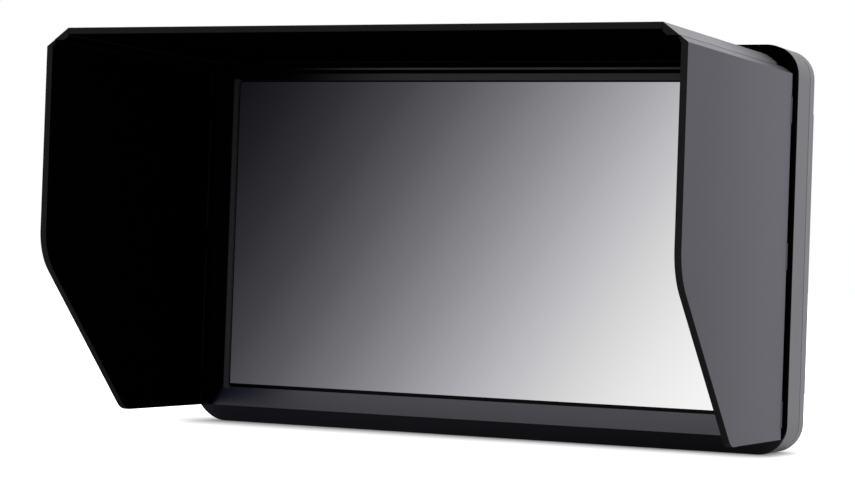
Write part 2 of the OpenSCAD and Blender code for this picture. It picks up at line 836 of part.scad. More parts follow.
// Key cap with a retaining flange under the top wall
module key(i) {
    stem = key_board_z + switch_t + key_travel + close;
    rim = body_h + key_proud - key_chamfer;
    flange = key_under - flange_t;
    color([0.13, 0.13, 0.14]) translate([key_x + i * key_pitch, key_y, 0]) {
        translate([0, 0, flange]) cylinder(h = flange_t, r = key_r + flange_w);
        translate([0, 0, key_under - bite]) cylinder(h = rim - key_under + bite, r = key_r);
        translate([0, 0, rim]) cylinder(h = key_chamfer, r1 = key_r, r2 = key_r - key_chamfer);
        translate([0, 0, stem]) cylinder(h = flange - stem + bite, r = stem_r);
    }
}
module power_key() { key(6); }
module input_key() { key(0); }
module menu_key() { key(1); }
module minus_key() { key(2); }
module plus_key() { key(3); }
module exit_key() { key(4); }
module function_key() { key(5); }

// Cross section of the hood's top with its two slanted corners, down to a height
module hood_section(low) {
    grow = sqrt(1 + slope * slope);
    x_in = strip_x - plate_t * (grow - 1) / slope;
    x_out_low = hood_w / 2 - (low - side_top) / slope;
    x_in_low = x_out_low - plate_t * grow / slope;
    polygon([[-x_in_low, low], [-x_in, hood_z - plate_t], [x_in, hood_z - plate_t],
        [x_in_low, low], [x_out_low, low], [strip_x, hood_z], [-strip_x, hood_z],
        [-x_out_low, low]]);
}
module side_pins(r) {
    for (x = [-side_x, side_x]) translate([x, side_y, side_foot + pin_in])
        cylinder(h = side_top - side_foot - 2 * pin_in, r = r);
}
module top_pin(r) {
    translate([0, top_y, top_z]) bar_x(r, -top_span + pin_in, top_span - pin_in);
}
// Frame that carries the hood: knuckles for its three hinges and a ledge above the screen
module hood_frame() {
    foot_l = frame_front - side_y + bite;
    color([0.06, 0.06, 0.065]) difference() {
        union() {
            along_y(frame_front, frame_back) intersection() {
                frame_outline(0);
                rrect(body_w, 0, body_h, corner_r);
            }
            along_y(ledge_y, frame_front + bite) hood_section(strip_z);
            at_pegs() bar_y(peg_r, frame_back - bite, y_bezel - seam);
            for (x = [-side_x, side_x], z = side_knuckles) translate([x, side_y, z]) {
                cylinder(h = knuckle_l, r = barrel_r);
                translate([-barrel_r, 0, 0]) cube([2 * barrel_r, foot_l, knuckle_l]);
            }
            for (x = top_knuckles) translate([x, top_y, top_z]) {
                bar_x(barrel_r, 0, knuckle_l);
                translate([0, 0, -barrel_r]) cube([knuckle_l, ledge_y - top_y + bite, 2 * barrel_r]);
            }
        }
        side_pins(pin_r + thread_gap / 2);
        top_pin(pin_r + thread_gap / 2);
    }
}
module left_hinge_pin() {
    color([0.75, 0.75, 0.76]) intersection() {
        side_pins(pin_r);
        translate([-body_w, -body_w, 0]) cube([body_w, 2 * body_w, body_h]);
    }
}
module right_hinge_pin() {
    color([0.75, 0.75, 0.76]) intersection() {
        side_pins(pin_r);
        translate([0, -body_w, 0]) cube([body_w, 2 * body_w, body_h]);
    }
}
module top_hinge_pin() { color([0.75, 0.75, 0.76]) top_pin(pin_r); }

// Points of a round corner of radius r at b, between the edges that run to a and to c
function arc_corner(a, b, c, r, n = 12) =
    let (u = (a - b) / norm(a - b), v = (c - b) / norm(c - b), half = acos(u * v) / 2,
        m = b + (u + v) / norm(u + v) * r / sin(half), p = b + u * r / tan(half) - m,
        q = b + v * r / tan(half) - m, from = atan2(p[1], p[0]), turn = atan2(q[1], q[0]) - from,
        sweep = turn > 180 ? turn - 360 : turn < -180 ? turn + 360 : turn)
    [for (i = [0:n]) m + r * [cos(from + sweep * i / n), sin(from + sweep * i / n)]];
// Side view of a hood side: upright rear, sloping front foot with rounded corners
module side_outline() {
    rear = [side_y, side_foot];
    foot = [side_y - slope_foot, side_foot];
    knee = [hood_y, slope_top];
    top = [hood_y, side_top_in];
    polygon(concat([top], arc_corner(top, knee, foot, knee_r), arc_corner(knee, foot, rear, foot_r),
        [rear, [side_y, side_top_in]]));
}
// Hood side on the +x side for s = 1: its plate, top edge cut to the slant, and its barrel
module hood_side(s) {
    x_out = hood_w / 2;
    x_in = x_out - plate_t;
    room_l = knuckle_l + 2 * barrel_gap;
    mirror([s < 0 ? 1 : 0, 0, 0]) difference() {
        union() {
            difference() {
                along_x(x_in, x_out) side_outline();
                along_y(hood_y - past, side_y + past)
                    polygon([[x_out + past, side_top - past * slope], [x_out + past, hood_z],
                        [x_in - past, hood_z], [x_in - past, side_top_in + past * slope]]);
                for (z = side_knuckles) translate([side_x, side_y, z - barrel_gap])
                    cylinder(h = room_l, r = barrel_r + barrel_gap);
            }
            difference() {
                translate([side_x, side_y, side_foot])
                    cylinder(h = side_top - side_foot, r = barrel_r);
                for (z = side_knuckles) translate([side_x, side_y, z - barrel_gap + room_l / 2])
                    cube([4 * barrel_r, 4 * barrel_r, room_l], center = true);
            }
        }
        translate([side_x, side_y, side_foot + bore_in])
            cylinder(h = side_top - side_foot - 2 * bore_in, r = pin_r + pin_gap);
    }
}
module hood_left() { color([0.2, 0.2, 0.21]) hood_side(-1); }
module hood_right() { color([0.2, 0.2, 0.21]) hood_side(1); }

// Top plate of the hood with its barrel, and room in both for the knuckles
module hood_top() {
    room_l = knuckle_l + 2 * barrel_gap;
    color([0.16, 0.16, 0.17]) difference() {
        union() {
            difference() {
                translate([-strip_x, hood_y, hood_z - plate_t])
                    cube([2 * strip_x, top_y - hood_y, plate_t]);
                for (x = top_knuckles) translate([x - barrel_gap, top_y, top_z])
                    bar_x(barrel_r + barrel_gap, 0, room_l);
            }
            difference() {
                translate([0, top_y, top_z]) bar_x(barrel_r, -top_span, top_span);
                for (x = top_knuckles) translate([x - barrel_gap + room_l / 2, top_y, top_z])
                    cube([room_l, 4 * barrel_r, 4 * barrel_r], center = true);
            }
        }
        translate([0, top_y, top_z]) bar_x(pin_r + pin_gap, -top_span + bore_in, top_span - bore_in);
    }
}
// Side view kept by a corner strip: full height ahead, then a nose that turns with the barrel
module corner_side() {
    nose_h = 2 * barrel_r + pin_gap;
    ahead_y = top_y - (top_z - strip_z) - barrel_gap;
    translate([hood_y, strip_z - past]) square([ahead_y - hood_y, body_h]);
    translate([hood_y, top_z - barrel_r - pin_gap]) square([top_y - hood_y, nose_h]);
    translate([top_y, top_z]) circle(barrel_r);
}
module hood_corner(s) {
    mirror([s < 0 ? 1 : 0, 0, 0]) intersection() {
        along_y(hood_y, ledge_y) intersection() {
            hood_section(strip_z);
            translate([strip_x, 0]) square([2 * corner_w, body_h]);
        }
        along_x(strip_x - past, hood_w / 2) corner_side();
    }
}
module hood_corner_left() { color([0.3, 0.3, 0.31]) hood_corner(-1); }
module hood_corner_right() { color([0.3, 0.3, 0.31]) hood_corner(1); }

front_bezel();
lcd_gasket();
lcd_panel();
light_guide();
led_strip();
backlight_tray();
chassis_plate();
main_board();
board_chips();
board_screws();
heat_sink();
display_flex();
key_board();
key_switches();
key_flex();
hdmi_input();
hdmi_output();
headphone_jack();
power_jack();
middle_frame();
tripod_insert();
rear_cover();
cover_screws();
battery_plate();
plate_screws();
battery_contacts();
release_slider();
release_spring();
power_key();
input_key();
menu_key();
minus_key();
plus_key();
exit_key();
function_key();
hood_frame();
left_hinge_pin();
right_hinge_pin();
top_hinge_pin();
hood_left();
hood_right();
hood_top();
hood_corner_left();
hood_corner_right();
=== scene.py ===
"""Finishes, fine pieces and studio of a camera field monitor with a folding sun hood."""

import json
import logging
import math
from dataclasses import dataclass
from enum import Enum
from types import MappingProxyType
from typing import Callable, Mapping, Optional, Sequence, Union

import bmesh
import bpy
from mathutils import Matrix, Vector

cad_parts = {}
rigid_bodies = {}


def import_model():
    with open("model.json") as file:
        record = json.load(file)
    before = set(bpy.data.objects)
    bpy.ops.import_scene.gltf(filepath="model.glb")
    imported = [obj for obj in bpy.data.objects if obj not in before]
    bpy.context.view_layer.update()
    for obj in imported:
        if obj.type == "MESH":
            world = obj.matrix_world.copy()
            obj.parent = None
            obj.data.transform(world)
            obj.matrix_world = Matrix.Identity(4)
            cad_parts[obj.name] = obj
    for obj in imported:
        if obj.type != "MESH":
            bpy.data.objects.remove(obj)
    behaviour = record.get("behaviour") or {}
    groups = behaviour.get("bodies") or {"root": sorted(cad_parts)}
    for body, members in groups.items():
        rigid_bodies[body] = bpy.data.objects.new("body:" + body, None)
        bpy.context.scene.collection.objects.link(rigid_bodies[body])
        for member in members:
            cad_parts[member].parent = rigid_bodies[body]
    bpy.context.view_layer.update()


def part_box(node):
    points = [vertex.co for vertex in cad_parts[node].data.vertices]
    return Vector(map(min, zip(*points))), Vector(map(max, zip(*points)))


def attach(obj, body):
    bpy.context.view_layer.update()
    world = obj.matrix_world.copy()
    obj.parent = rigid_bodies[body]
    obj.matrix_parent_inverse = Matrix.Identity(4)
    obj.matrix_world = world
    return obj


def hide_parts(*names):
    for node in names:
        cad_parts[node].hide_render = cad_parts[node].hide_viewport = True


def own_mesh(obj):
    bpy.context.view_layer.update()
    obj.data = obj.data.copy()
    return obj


log = logging.getLogger("monitor")

MM = 0.001

# Points this near are taken as in line, and points this near in a CAD node are merged.
NEAR = 0.01 * MM
MERGE = 0.002 * MM

# Edges steeper than this are rounded, and faces that turn less than this are made one.
SHARP = math.radians(28)
FLAT = math.radians(0.3)

Colour = tuple[float, float, float]
Point = tuple[float, float, float]
Span = tuple[float, float]
Box = tuple[Point, Point]
EdgeTest = Callable[[bmesh.types.BMEdge], bool]


def grey(level: float, blue: float = 0.0) -> Colour:
    """Linear colour of a display tone from 0 to 255, a little bluer by blue steps.

    Args:
        level: Tone of red and green, as a display shows it.
        blue: How many steps brighter the blue is.

    Returns:
        The linear red, green and blue.
    """

    def linear(step: float) -> float:
        """Display step from 0 to 255 as linear light."""
        share = max(step, 0.0) / 255
        return share / 12.92 if share < 0.04045 else ((share + 0.055) / 1.055) ** 2.4

    return (linear(level), linear(level), linear(level + blue))


def add(name: str, data: bpy.types.ID) -> bpy.types.Object:
    """Add an object with that data to the scene.

    Args:
        name: Name of the object.
        data: Its mesh, camera or lamp.

    Returns:
        The object.
    """
    thing = bpy.data.objects.new(name, data)
    bpy.context.scene.collection.objects.link(thing)
    return thing


class Value:
    """Number socket of a material that adds its Math nodes when it is used in an expression."""

    def __init__(self, tree: "Tree", socket: bpy.types.NodeSocket) -> None:
        """Wrap a socket of a node tree."""
        self.tree = tree
        self.socket = socket

    def math(self, operation: str, *others: "Number") -> "Value":
        """Add one Math node whose first input is this value.

        Args:
            operation: Name of the Math node's operation.
            others: Its further inputs.

        Returns:
            The result.
        """
        inputs = dict(enumerate((self, *others)))
        return self.tree.value("ShaderNodeMath", {"operation": operation}, inputs)

    def __add__(self, other: "Number") -> "Value":
        """Sum."""
        return self.math("ADD", other)

    __radd__ = __add__

    def __sub__(self, other: "Number") -> "Value":
        """Difference."""
        return self.math("SUBTRACT", other)

    def __rsub__(self, other: float) -> "Value":
        """Difference from a plain number."""
        return (self * -1.0) + other

    def __mul__(self, other: "Number") -> "Value":
        """Product."""
        return self.math("MULTIPLY", other)

    __rmul__ = __mul__

    def __truediv__(self, other: "Number") -> "Value":
        """Quotient."""
        return self.math("DIVIDE", other)

    def __abs__(self) -> "Value":
        """Size without its sign."""
        return self.math("ABSOLUTE")

    def band(self, low: float, high: float, soft: float) -> "Value":
        """Smooth band that is 1 from low to high and falls to 0 over a soft margin outside."""
        return self.ramp(low - soft, low) * self.ramp(high + soft, high)

    def ramp(self, low: float, high: float) -> "Value":
        """Smooth step from 0 at low to 1 at high, falling where low is above high."""
        inputs = {"Value": self, "From Min": low, "From Max": high}
        return self.tree.value("ShaderNodeMapRange", {"interpolation_type": "SMOOTHSTEP"}, inputs)


Number = Union[Value, float]
Input = Union[Value, bpy.types.NodeSocket, float, Sequence[float]]
Settings = Mapping[str, object]
Inputs = Mapping[Union[str, int], Input]
EMPTY: Mapping = MappingProxyType({})


class Tree:
    """Node tree of a material or of the world, under way."""

    def __init__(self, owner: Union[bpy.types.Material, bpy.types.World]) -> None:
        """Start with an empty tree.

        Args:
            owner: The material or world that has the tree.
        """
        owner.use_nodes = True
        self.nodes = owner.node_tree.nodes
        self.links = owner.node_tree.links
        self.nodes.clear()

    def node(self, kind: str, settings: Settings = EMPTY, inputs: Inputs = EMPTY) -> bpy.types.Node:
        """Add a node.

        Args:
            kind: Its type.
            settings: Its attributes, or the stops of a colour ramp, set first.
            inputs: Values or links of its sockets, by name or number.

        Returns:
            The node.
        """
        node = self.nodes.new(kind)
        for key, setting in settings.items():
            if key == "stops":
                self.grade(node.color_ramp, setting)
            else:
                setattr(node, key, setting)
        for key, given in inputs.items():
            self.feed(node.inputs[key], given)
        return node

    @staticmethod
    def grade(ramp: bpy.types.ColorRamp, stops: Sequence[tuple[float, Colour]]) -> None:
        """Give a colour ramp its stops.

        Args:
            ramp: The ramp.
            stops: Place from 0 to 1 and colour of each stop.
        """
        while len(ramp.elements) < len(stops):
            ramp.elements.new(1.0)
        for element, (place, colour) in zip(ramp.elements, stops):
            element.position = place
            element.color = (*colour, 1.0)

    def feed(self, socket: bpy.types.NodeSocket, given: Input) -> None:
        """Link a socket, or set its value.

        Args:
            socket: Input socket of a node.
            given: What feeds it. A colour gets an alpha of 1.
        """
        if isinstance(given, Value):
            self.links.new(given.socket, socket)
        elif isinstance(given, bpy.types.NodeSocket):
            self.links.new(given, socket)
        elif isinstance(given, (int, float)):
            socket.default_value = given
        else:
            wanted = len(socket.default_value)
            socket.default_value = (*given, 1.0)[:wanted]

    def value(self, kind: str, settings: Settings = EMPTY, inputs: Inputs = EMPTY) -> Value:
        """Add a node, as node() does, and return its first output as a value."""
        return Value(self, self.node(kind, settings, inputs).outputs[0])

    def rays(self, *kinds: str) -> Value:
        """Tell some kinds of ray from the rest.

        Args:
            kinds: The kinds, such as Camera or Glossy.

        Returns:
            1 for a ray of any of these kinds and 0 for others.
        """
        outputs = self.node("ShaderNodeLightPath").outputs
        seen, *others = (Value(self, outputs[f"Is {kind} Ray"]) for kind in kinds)
        for other in others:
            seen = seen.math("MAXIMUM", other)
        return seen


class Graph(Tree):
    """Node tree of one material, with a Principled shader joined to its output."""

    def __init__(self, name: str) -> None:
        """Start a material.

        Args:
            name: Its name.
        """
        self.material = bpy.data.materials.new(name)
        super().__init__(self.material)
        self.shader = self.node("ShaderNodeBsdfPrincipled")
        self.node("ShaderNodeOutputMaterial", {}, {"Surface": self.shader.outputs[0]})

    def place(self, scale: Point = (1.0, 1.0, 1.0)) -> bpy.types.NodeSocket:
        """Object coordinates, stretched by a scale along each axis."""
        coords = self.node("ShaderNodeTexCoord").outputs["Object"]
        return self.node("ShaderNodeMapping", {}, {"Vector": coords, "Scale": scale}).outputs[0]

    def parts(self, output: str) -> tuple[Value, Value, Value]:
        """Take an output of Texture Coordinate apart.

        Args:
            output: Name of the output.

        Returns:
            Its three numbers.
        """
        vector = self.node("ShaderNodeTexCoord").outputs[output]
        x, y, z = self.node("ShaderNodeSeparateXYZ", {}, {0: vector}).outputs
        return Value(self, x), Value(self, y), Value(self, z)

    def axes(self) -> tuple[Value, Value, Value]:
        """Object coordinates as three values, in metres."""
        return self.parts("Object")

    def facing(self) -> tuple[Value, Value, Value]:
        """The surface's own direction in the object's axes."""
        return self.parts("Normal")

    def noise(self, size: float, detail: float = 2.0, stretch: Point = (1.0, 1.0, 1.0)) -> Value:
        """Soft noise whose spots are about size across.

        Args:
            size: Size of a spot, in metres.
            detail: How many finer layers it has.
            stretch: Scale along each axis, small along the direction it is drawn out.

        Returns:
            The noise, from 0 to 1 and about 0.5 on the whole.
        """
        inputs = {"Vector": self.place(stretch), "Scale": 1 / size, "Detail": detail}
        return self.value("ShaderNodeTexNoise", {}, inputs)

    def patchy(self, mean: float, size: float, swing: float) -> Value:
        """Value that drifts about a mean in patches of that size, by half the swing each way."""
        return mean + (self.noise(size) - 0.5) * swing

    def cells(self, size: float) -> Value:
        """Distance to the middle of round cells of that size, as on a grained mould."""
        return self.value("ShaderNodeTexVoronoi", {}, {"Vector": self.place(), "Scale": 1 / size})

    def blend(self, share: Number, low: Input, high: Input, mode: str = "MIX") -> bpy.types.NodeSocket:
        """Colour between two colours.

        Args:
            share: 0 for low to 1 for high.
            low: First colour.
            high: Second colour.
            mode: Way in which the second colour is laid over the first.

        Returns:
            The mixed colour.
        """
        settings = {"data_type": "RGBA", "blend_type": mode}
        return self.node("ShaderNodeMix", settings, {0: share, 6: low, 7: high}).outputs[2]

    def mottle(
        self, share: Number, tone: Colour, dark: float, light: float = 1.0
    ) -> bpy.types.NodeSocket:
        """Colour that drifts about a tone.

        Args:
            share: 0 for its darkest to 1 for its lightest.
            tone: The tone.
            dark: Share of the tone at its darkest.
            light: Share of the tone at its lightest.

        Returns:
            The drifting colour.
        """
        low, high = (tuple(min(channel * part, 1.0) for channel in tone) for part in (dark, light))
        return self.blend(share, low, high)

    def relief(
        self, height: Value, depth: float, under: Optional[bpy.types.NodeSocket] = None
    ) -> bpy.types.NodeSocket:
        """Surface direction of a relief.

        Args:
            height: The relief from 0 to 1.
            depth: Its depth, in metres.
            under: Surface direction of a relief below it.

        Returns:
            The direction.
        """
        bump = self.node("ShaderNodeBump", {}, {"Height": height, "Distance": depth, "Strength": 1.0})
        if under is not None:
            self.feed(bump.inputs["Normal"], under)
        return bump.outputs[0]

    def finish(self, **sockets: Input) -> bpy.types.Material:
        """Set the shader's sockets.

        Args:
            sockets: What feeds each, named with underscores for spaces.

        Returns:
            The material.
        """
        for name, given in sockets.items():
            self.feed(self.shader.inputs[name.replace("_", " ")], given)
        return self.material


@dataclass(frozen=True)
class Moulded:
    """Moulded plastic with a fine spark-eroded grain.

    Attributes:
        name: Name of the material.
        tone: Its colour.
        roughness: Mean roughness.
        gloss: Specular level.
        grain: Size of the grain.
        depth: Depth of the grain.
        drift: Share by which the tone drifts over the piece.
    """

    name: str
    tone: Colour
    roughness: float = 0.5
    gloss: float = 0.4
    grain: float = 0.35 * MM
    depth: float = 0.012 * MM
    drift: float = 0.12

    def material(self) -> bpy.types.Material:
        """Build the material.

        Returns:
            The material.
        """
        graph = Graph(self.name)
        clouds = graph.noise(18 * MM, 3.0)
        pits = graph.cells(self.grain)
        return graph.finish(
            Base_Color=graph.mottle(clouds, self.tone, 1 - self.drift, 1 + self.drift),
            Roughness=graph.patchy(self.roughness, 4 * MM, 0.16) + (pits - 0.4) * 0.05,
            Specular_IOR_Level=self.gloss,
            Normal=graph.relief(pits, self.depth),
        )


@dataclass(frozen=True)
class HoodShell:
    """Hood plate: dark grey and grained outside, black inside, near black along its rim; some of its
    tones are painted shade and painted light.

    Attributes:
        name: Name of the material.
        away: Direction of the outer face, in the object's axes.
        outside: Colour of the outer face at its rear.
        ahead: Colour of the outer face at its front edge, darker than at its rear as painted shade.
        slope: Colour of the slanted corner face, lighter than the outer face as painted light.
        faded: Colour of that face at its rear: a painted reflection of the black frame.
        inside: Colour of the inner faces.
        rim: Colour of the rim.
        front: Place of the front edge along y.
        rear: Place of the rear edge along y.
        fade: Stretch of y over which the slanted face fades into that painted reflection.
        lap: Stretch of y behind the rear edge over which the rim turns black, as painted shade where it
            meets the frame.
        shell_turn: Cosine of the angle from away at which the outside starts, and is whole.
        lining_turn: The same for the inside.
        slant_turn: The same for the slanted face, from its own direction.
        slant_way: That direction, sideways and up.
    """

    name: str
    away: Point
    outside: Colour = grey(90, 7)
    ahead: Colour = grey(74, 7)
    slope: Colour = grey(133, 4)
    faded: Colour = grey(54, 4)
    inside: Colour = grey(2)
    rim: Colour = grey(21, 2)
    front: float = -94 * MM
    rear: float = -12 * MM
    fade: Span = (-66 * MM, -7 * MM)
    lap: Span = (-11.4 * MM, -10.4 * MM)
    shell_turn: Span = (0.72, 0.9)
    lining_turn: Span = (-0.5, -0.75)
    slant_turn: Span = (0.93, 0.97)
    slant_way: Span = (0.6, 0.8)

    def material(self) -> bpy.types.Material:
        """Build the material.

        Returns:
            The material.
        """
        graph = Graph(self.name)
        x, y, z = graph.facing()
        out = x * self.away[0] + y * self.away[1] + z * self.away[2]
        shell = out.ramp(*self.shell_turn)
        lining = out.ramp(*self.lining_turn)
        slant = (abs(x) * self.slant_way[0] + z * self.slant_way[1]).ramp(*self.slant_turn)
        _, depth, _ = graph.axes()
        # Painted shade: the outer face darkens from its rear towards its front edge.
        along = depth.ramp(self.front, self.rear)
        clouds = graph.noise(24 * MM, 3.0)
        worn = graph.mottle(clouds, grey(255), 0.92)
        tone = graph.blend(1.0, graph.blend(along, self.ahead, self.outside), worn, "MULTIPLY")
        # Painted light on the slanted corner face, fading at its rear into a painted reflection of the
        # black frame.
        slope = graph.blend(depth.ramp(*self.fade), self.slope, self.faded)
        # Painted shade: the rim turns black at its rear, where it meets the frame.
        rim = graph.blend(depth.ramp(*self.lap), self.rim, self.inside)
        body = graph.blend(slant, graph.blend(shell, rim, tone), slope)
        pits = graph.cells(0.4 * MM)
        fuzz = graph.noise(0.12 * MM, 3.0)
        grain = graph.relief(pits, 0.01 * MM)
        return graph.finish(
            Base_Color=graph.blend(lining, body, self.inside),
            Roughness=graph.patchy(0.5, 5 * MM, 0.12) + lining * 0.4,
            Specular_IOR_Level=0.0,
            Coat_Weight=(1 - lining) * (0.15 + shell * 0.2),
            Coat_Roughness=0.42,
            Normal=graph.relief(fuzz * lining, 0.06 * MM, grain),
        )


@dataclass(frozen=True)
class Painted:
    """Satin paint sprayed on cast metal, with a faint orange peel, a fine metallic fleck and painted
    shade along its joint.

    Attributes:
        name: Name of the material.
        tone: Its colour.
        roughness: Mean roughness.
        joint: Place along y of the joint between the two shells.
        joint_w: Width of the band of painted shade along it.
    """

    name: str
    tone: Colour
    roughness: float = 0.42
    joint: float = 5.4 * MM
    joint_w: float = 0.4 * MM

    def material(self) -> bpy.types.Material:
        """Build the material.

        Returns:
            The material.
        """
        graph = Graph(self.name)
        _, y, _ = graph.axes()
        # Painted shade: a dark band along the joint between the two shells.
        joint_shade = y.band(self.joint - self.joint_w / 2, self.joint + self.joint_w / 2, 0.08 * MM)
        clouds = graph.noise(30 * MM, 2.0)
        fleck = graph.noise(0.18 * MM, 1.0)
        peel = graph.noise(0.9 * MM, 2.0)
        paint = graph.mottle(clouds * 0.7 + fleck * 0.3, self.tone, 0.93, 1.07)
        return graph.finish(
            Base_Color=graph.blend(joint_shade * 0.85, paint, grey(12)),
            Roughness=self.roughness + (fleck - 0.5) * 0.1,
            Specular_IOR_Level=0.4,
            Normal=graph.relief(peel * 0.7 + fleck * 0.3, 0.012 * MM),
        )


@dataclass(frozen=True)
class BezelSatin:
    """Black bezel whose front face shines below the window and stays dull round it, with painted
    reflections and painted light on its faces.

    Attributes:
        name: Name of the material.
        base: Colour of the black itself.
        sheen: Bluish colour of the shining face below the window: a painted reflection.
        bevel: Colour of the downward slanted foot at the left: painted light.
        bevel_far: Colour of that painted light at the right.
        brow: Colour of the face above the window: a painted reflection.
        lip: Colour of the window's left and right lips: painted light from the lit picture.
        chin: Height of the window's foot.
        top: Height of the window's top.
        brow_top: Height up to which the face above the window is seen.
        brow_fade: Stretch of x over which that painted reflection fades out towards the left.
        side: Distance from the middle to the window's sides.
        lip_w: Width of a lip.
        corner: Distance from the middle at which the shine and its painted reflection end, and at which
            they start to end.
        across: Stretch of x over which the slanted foot's painted light changes.
        face_turn: Part along y of a face's direction at which the front starts, and is whole.
        slant_turn: Part along z of it at which the slanted foot starts, and is whole.
        lip_glow: Strength of the lips' painted light at the height of the floor and of the window's
            top.
    """

    name: str
    base: Colour = grey(6, 1)
    sheen: Colour = grey(12, 36)
    bevel: Colour = grey(60, 8)
    bevel_far: Colour = grey(46, 4)
    brow: Colour = grey(80, 3)
    lip: Colour = grey(76, 3)
    chin: float = 10 * MM
    top: float = 98.6 * MM
    brow_top: float = 100.4 * MM
    brow_fade: Span = (-66 * MM, -20 * MM)
    side: float = 78.45 * MM
    lip_w: float = 1.1 * MM
    corner: Span = (86.5 * MM, 84 * MM)
    across: Span = (-75 * MM, 75 * MM)
    face_turn: Span = (-0.93, -0.985)
    slant_turn: Span = (-0.2, -0.5)
    lip_glow: Span = (1.35, 0.5167)

    def material(self) -> bpy.types.Material:
        """Build the material.

        Returns:
            The material.
        """
        graph = Graph(self.name)
        _, facing, down = graph.facing()
        x, _, z = graph.axes()
        face = facing.ramp(*self.face_turn)
        foot = z.ramp(self.chin + 0.4 * MM, self.chin) * (abs(x) + z * 0.55).ramp(*self.corner)
        # Painted reflection on the face above the window, fading out towards the left.
        brow = z.band(self.top, self.brow_top, 0.15 * MM) * x.ramp(*self.brow_fade)
        # Painted light on the window's side lips, stronger towards the floor.
        lips = abs(x).band(self.side - 0.2 * MM, self.side + self.lip_w, 0.5 * MM)
        foot_glow, top_glow = self.lip_glow
        lips = lips * z.band(self.chin, self.top, 0.6 * MM)
        lips = lips * (foot_glow - z * ((foot_glow - top_glow) / self.top))
        # Painted light on the downward slanted foot, changing from left to right.
        slant = down.ramp(*self.slant_turn) * (1 - face)
        # Painted reflection: bluish colour on the shining face below the window.
        tone = graph.blend(foot * face, self.base, self.sheen)
        tone = graph.blend(brow * face, tone, self.brow)
        tone = graph.blend(lips, tone, self.lip)
        bevel = graph.blend(x.ramp(*self.across), self.bevel, self.bevel_far)
        pits = graph.cells(0.3 * MM)
        return graph.finish(
            Base_Color=graph.blend(slant, tone, bevel),
            Roughness=graph.patchy(0.5, 6 * MM, 0.1),
            Specular_IOR_Level=0.0,
            Coat_Weight=face * foot,
            Coat_Roughness=0.3,
            Coat_IOR=1.95,
            Normal=graph.relief(pits, 0.006 * MM),
        )


@dataclass(frozen=True)
class FrameBlack:
    """Black hood frame with a painted highlight along its lower lip, its hinge knuckles grey outside
    like the hood.

    Attributes:
        name: Name of the material.
        base: Colour of the black itself.
        lip: Colour of the painted highlight on the lip over the window.
        knuckle: Colour of the knuckles' outer faces.
        lip_low: Height of the lip's foot.
        lip_high: Height of the lip's top.
        lip_fade: Stretch of x over which the painted highlight fades out towards the left.
        lip_end: Distance from the middle at which it ends, and at which it starts to end.
        knuckle_x: Distance from the middle at which a knuckle starts, and at which it is all grey.
        knuckle_y: The same along y.
        face_turn: Part along y of a face's direction at which the lip starts, and is whole.
    """

    name: str
    base: Colour = grey(3, 1)
    lip: Colour = grey(90, 2)
    knuckle: Colour = grey(80, 5)
    lip_low: float = 101.45 * MM
    lip_high: float = 102.0 * MM
    lip_fade: Span = (-64 * MM, -24 * MM)
    lip_end: Span = (85 * MM, 80 * MM)
    knuckle_x: Span = (86.4 * MM, 86.7 * MM)
    knuckle_y: Span = (-8.3 * MM, -8.6 * MM)
    face_turn: Span = (-0.8, -0.95)

    def material(self) -> bpy.types.Material:
        """Build the material.

        Returns:
            The material.
        """
        graph = Graph(self.name)
        _, facing, _ = graph.facing()
        x, y, z = graph.axes()
        # Painted highlight along the frame's lower lip, fading out towards the left and the ends.
        lip = z.band(self.lip_low, self.lip_high, 0.1 * MM) * x.ramp(*self.lip_fade)
        lip = lip * abs(x).ramp(*self.lip_end) * facing.ramp(*self.face_turn)
        knuckle = abs(x).ramp(*self.knuckle_x) * y.ramp(*self.knuckle_y)
        tone = graph.blend(lip, self.base, self.lip)
        pits = graph.cells(0.3 * MM)
        return graph.finish(
            Base_Color=graph.blend(knuckle, tone, self.knuckle),
            Roughness=graph.patchy(0.55, 6 * MM, 0.14),
            Specular_IOR_Level=0.0,
            Normal=graph.relief(pits, 0.008 * MM),
        )


@dataclass(frozen=True)
class Metal:
    """Bare metal drawn, turned or stamped along one axis.

    Attributes:
        name: Name of the material.
        tone: Its colour.
        roughness: Mean roughness.
        stretch: Scale of the drawing marks along each axis, small along them.
        depth: Depth of the marks.
    """

    name: str
    tone: Colour
    roughness: float = 0.3
    stretch: Point = (1.0, 1.0, 0.06)
    depth: float = 0.004 * MM

    def material(self) -> bpy.types.Material:
        """Build the material.

        Returns:
            The material.
        """
        graph = Graph(self.name)
        lines = graph.noise(0.25 * MM, 3.0, self.stretch)
        stain = graph.noise(6 * MM, 2.0)
        return graph.finish(
            Base_Color=graph.mottle(stain * 0.6 + lines * 0.4, self.tone, 0.8),
            Metallic=1.0,
            Roughness=self.roughness + (lines - 0.5) * 0.2 + (stain - 0.5) * 0.1,
            Normal=graph.relief(lines, self.depth),
        )


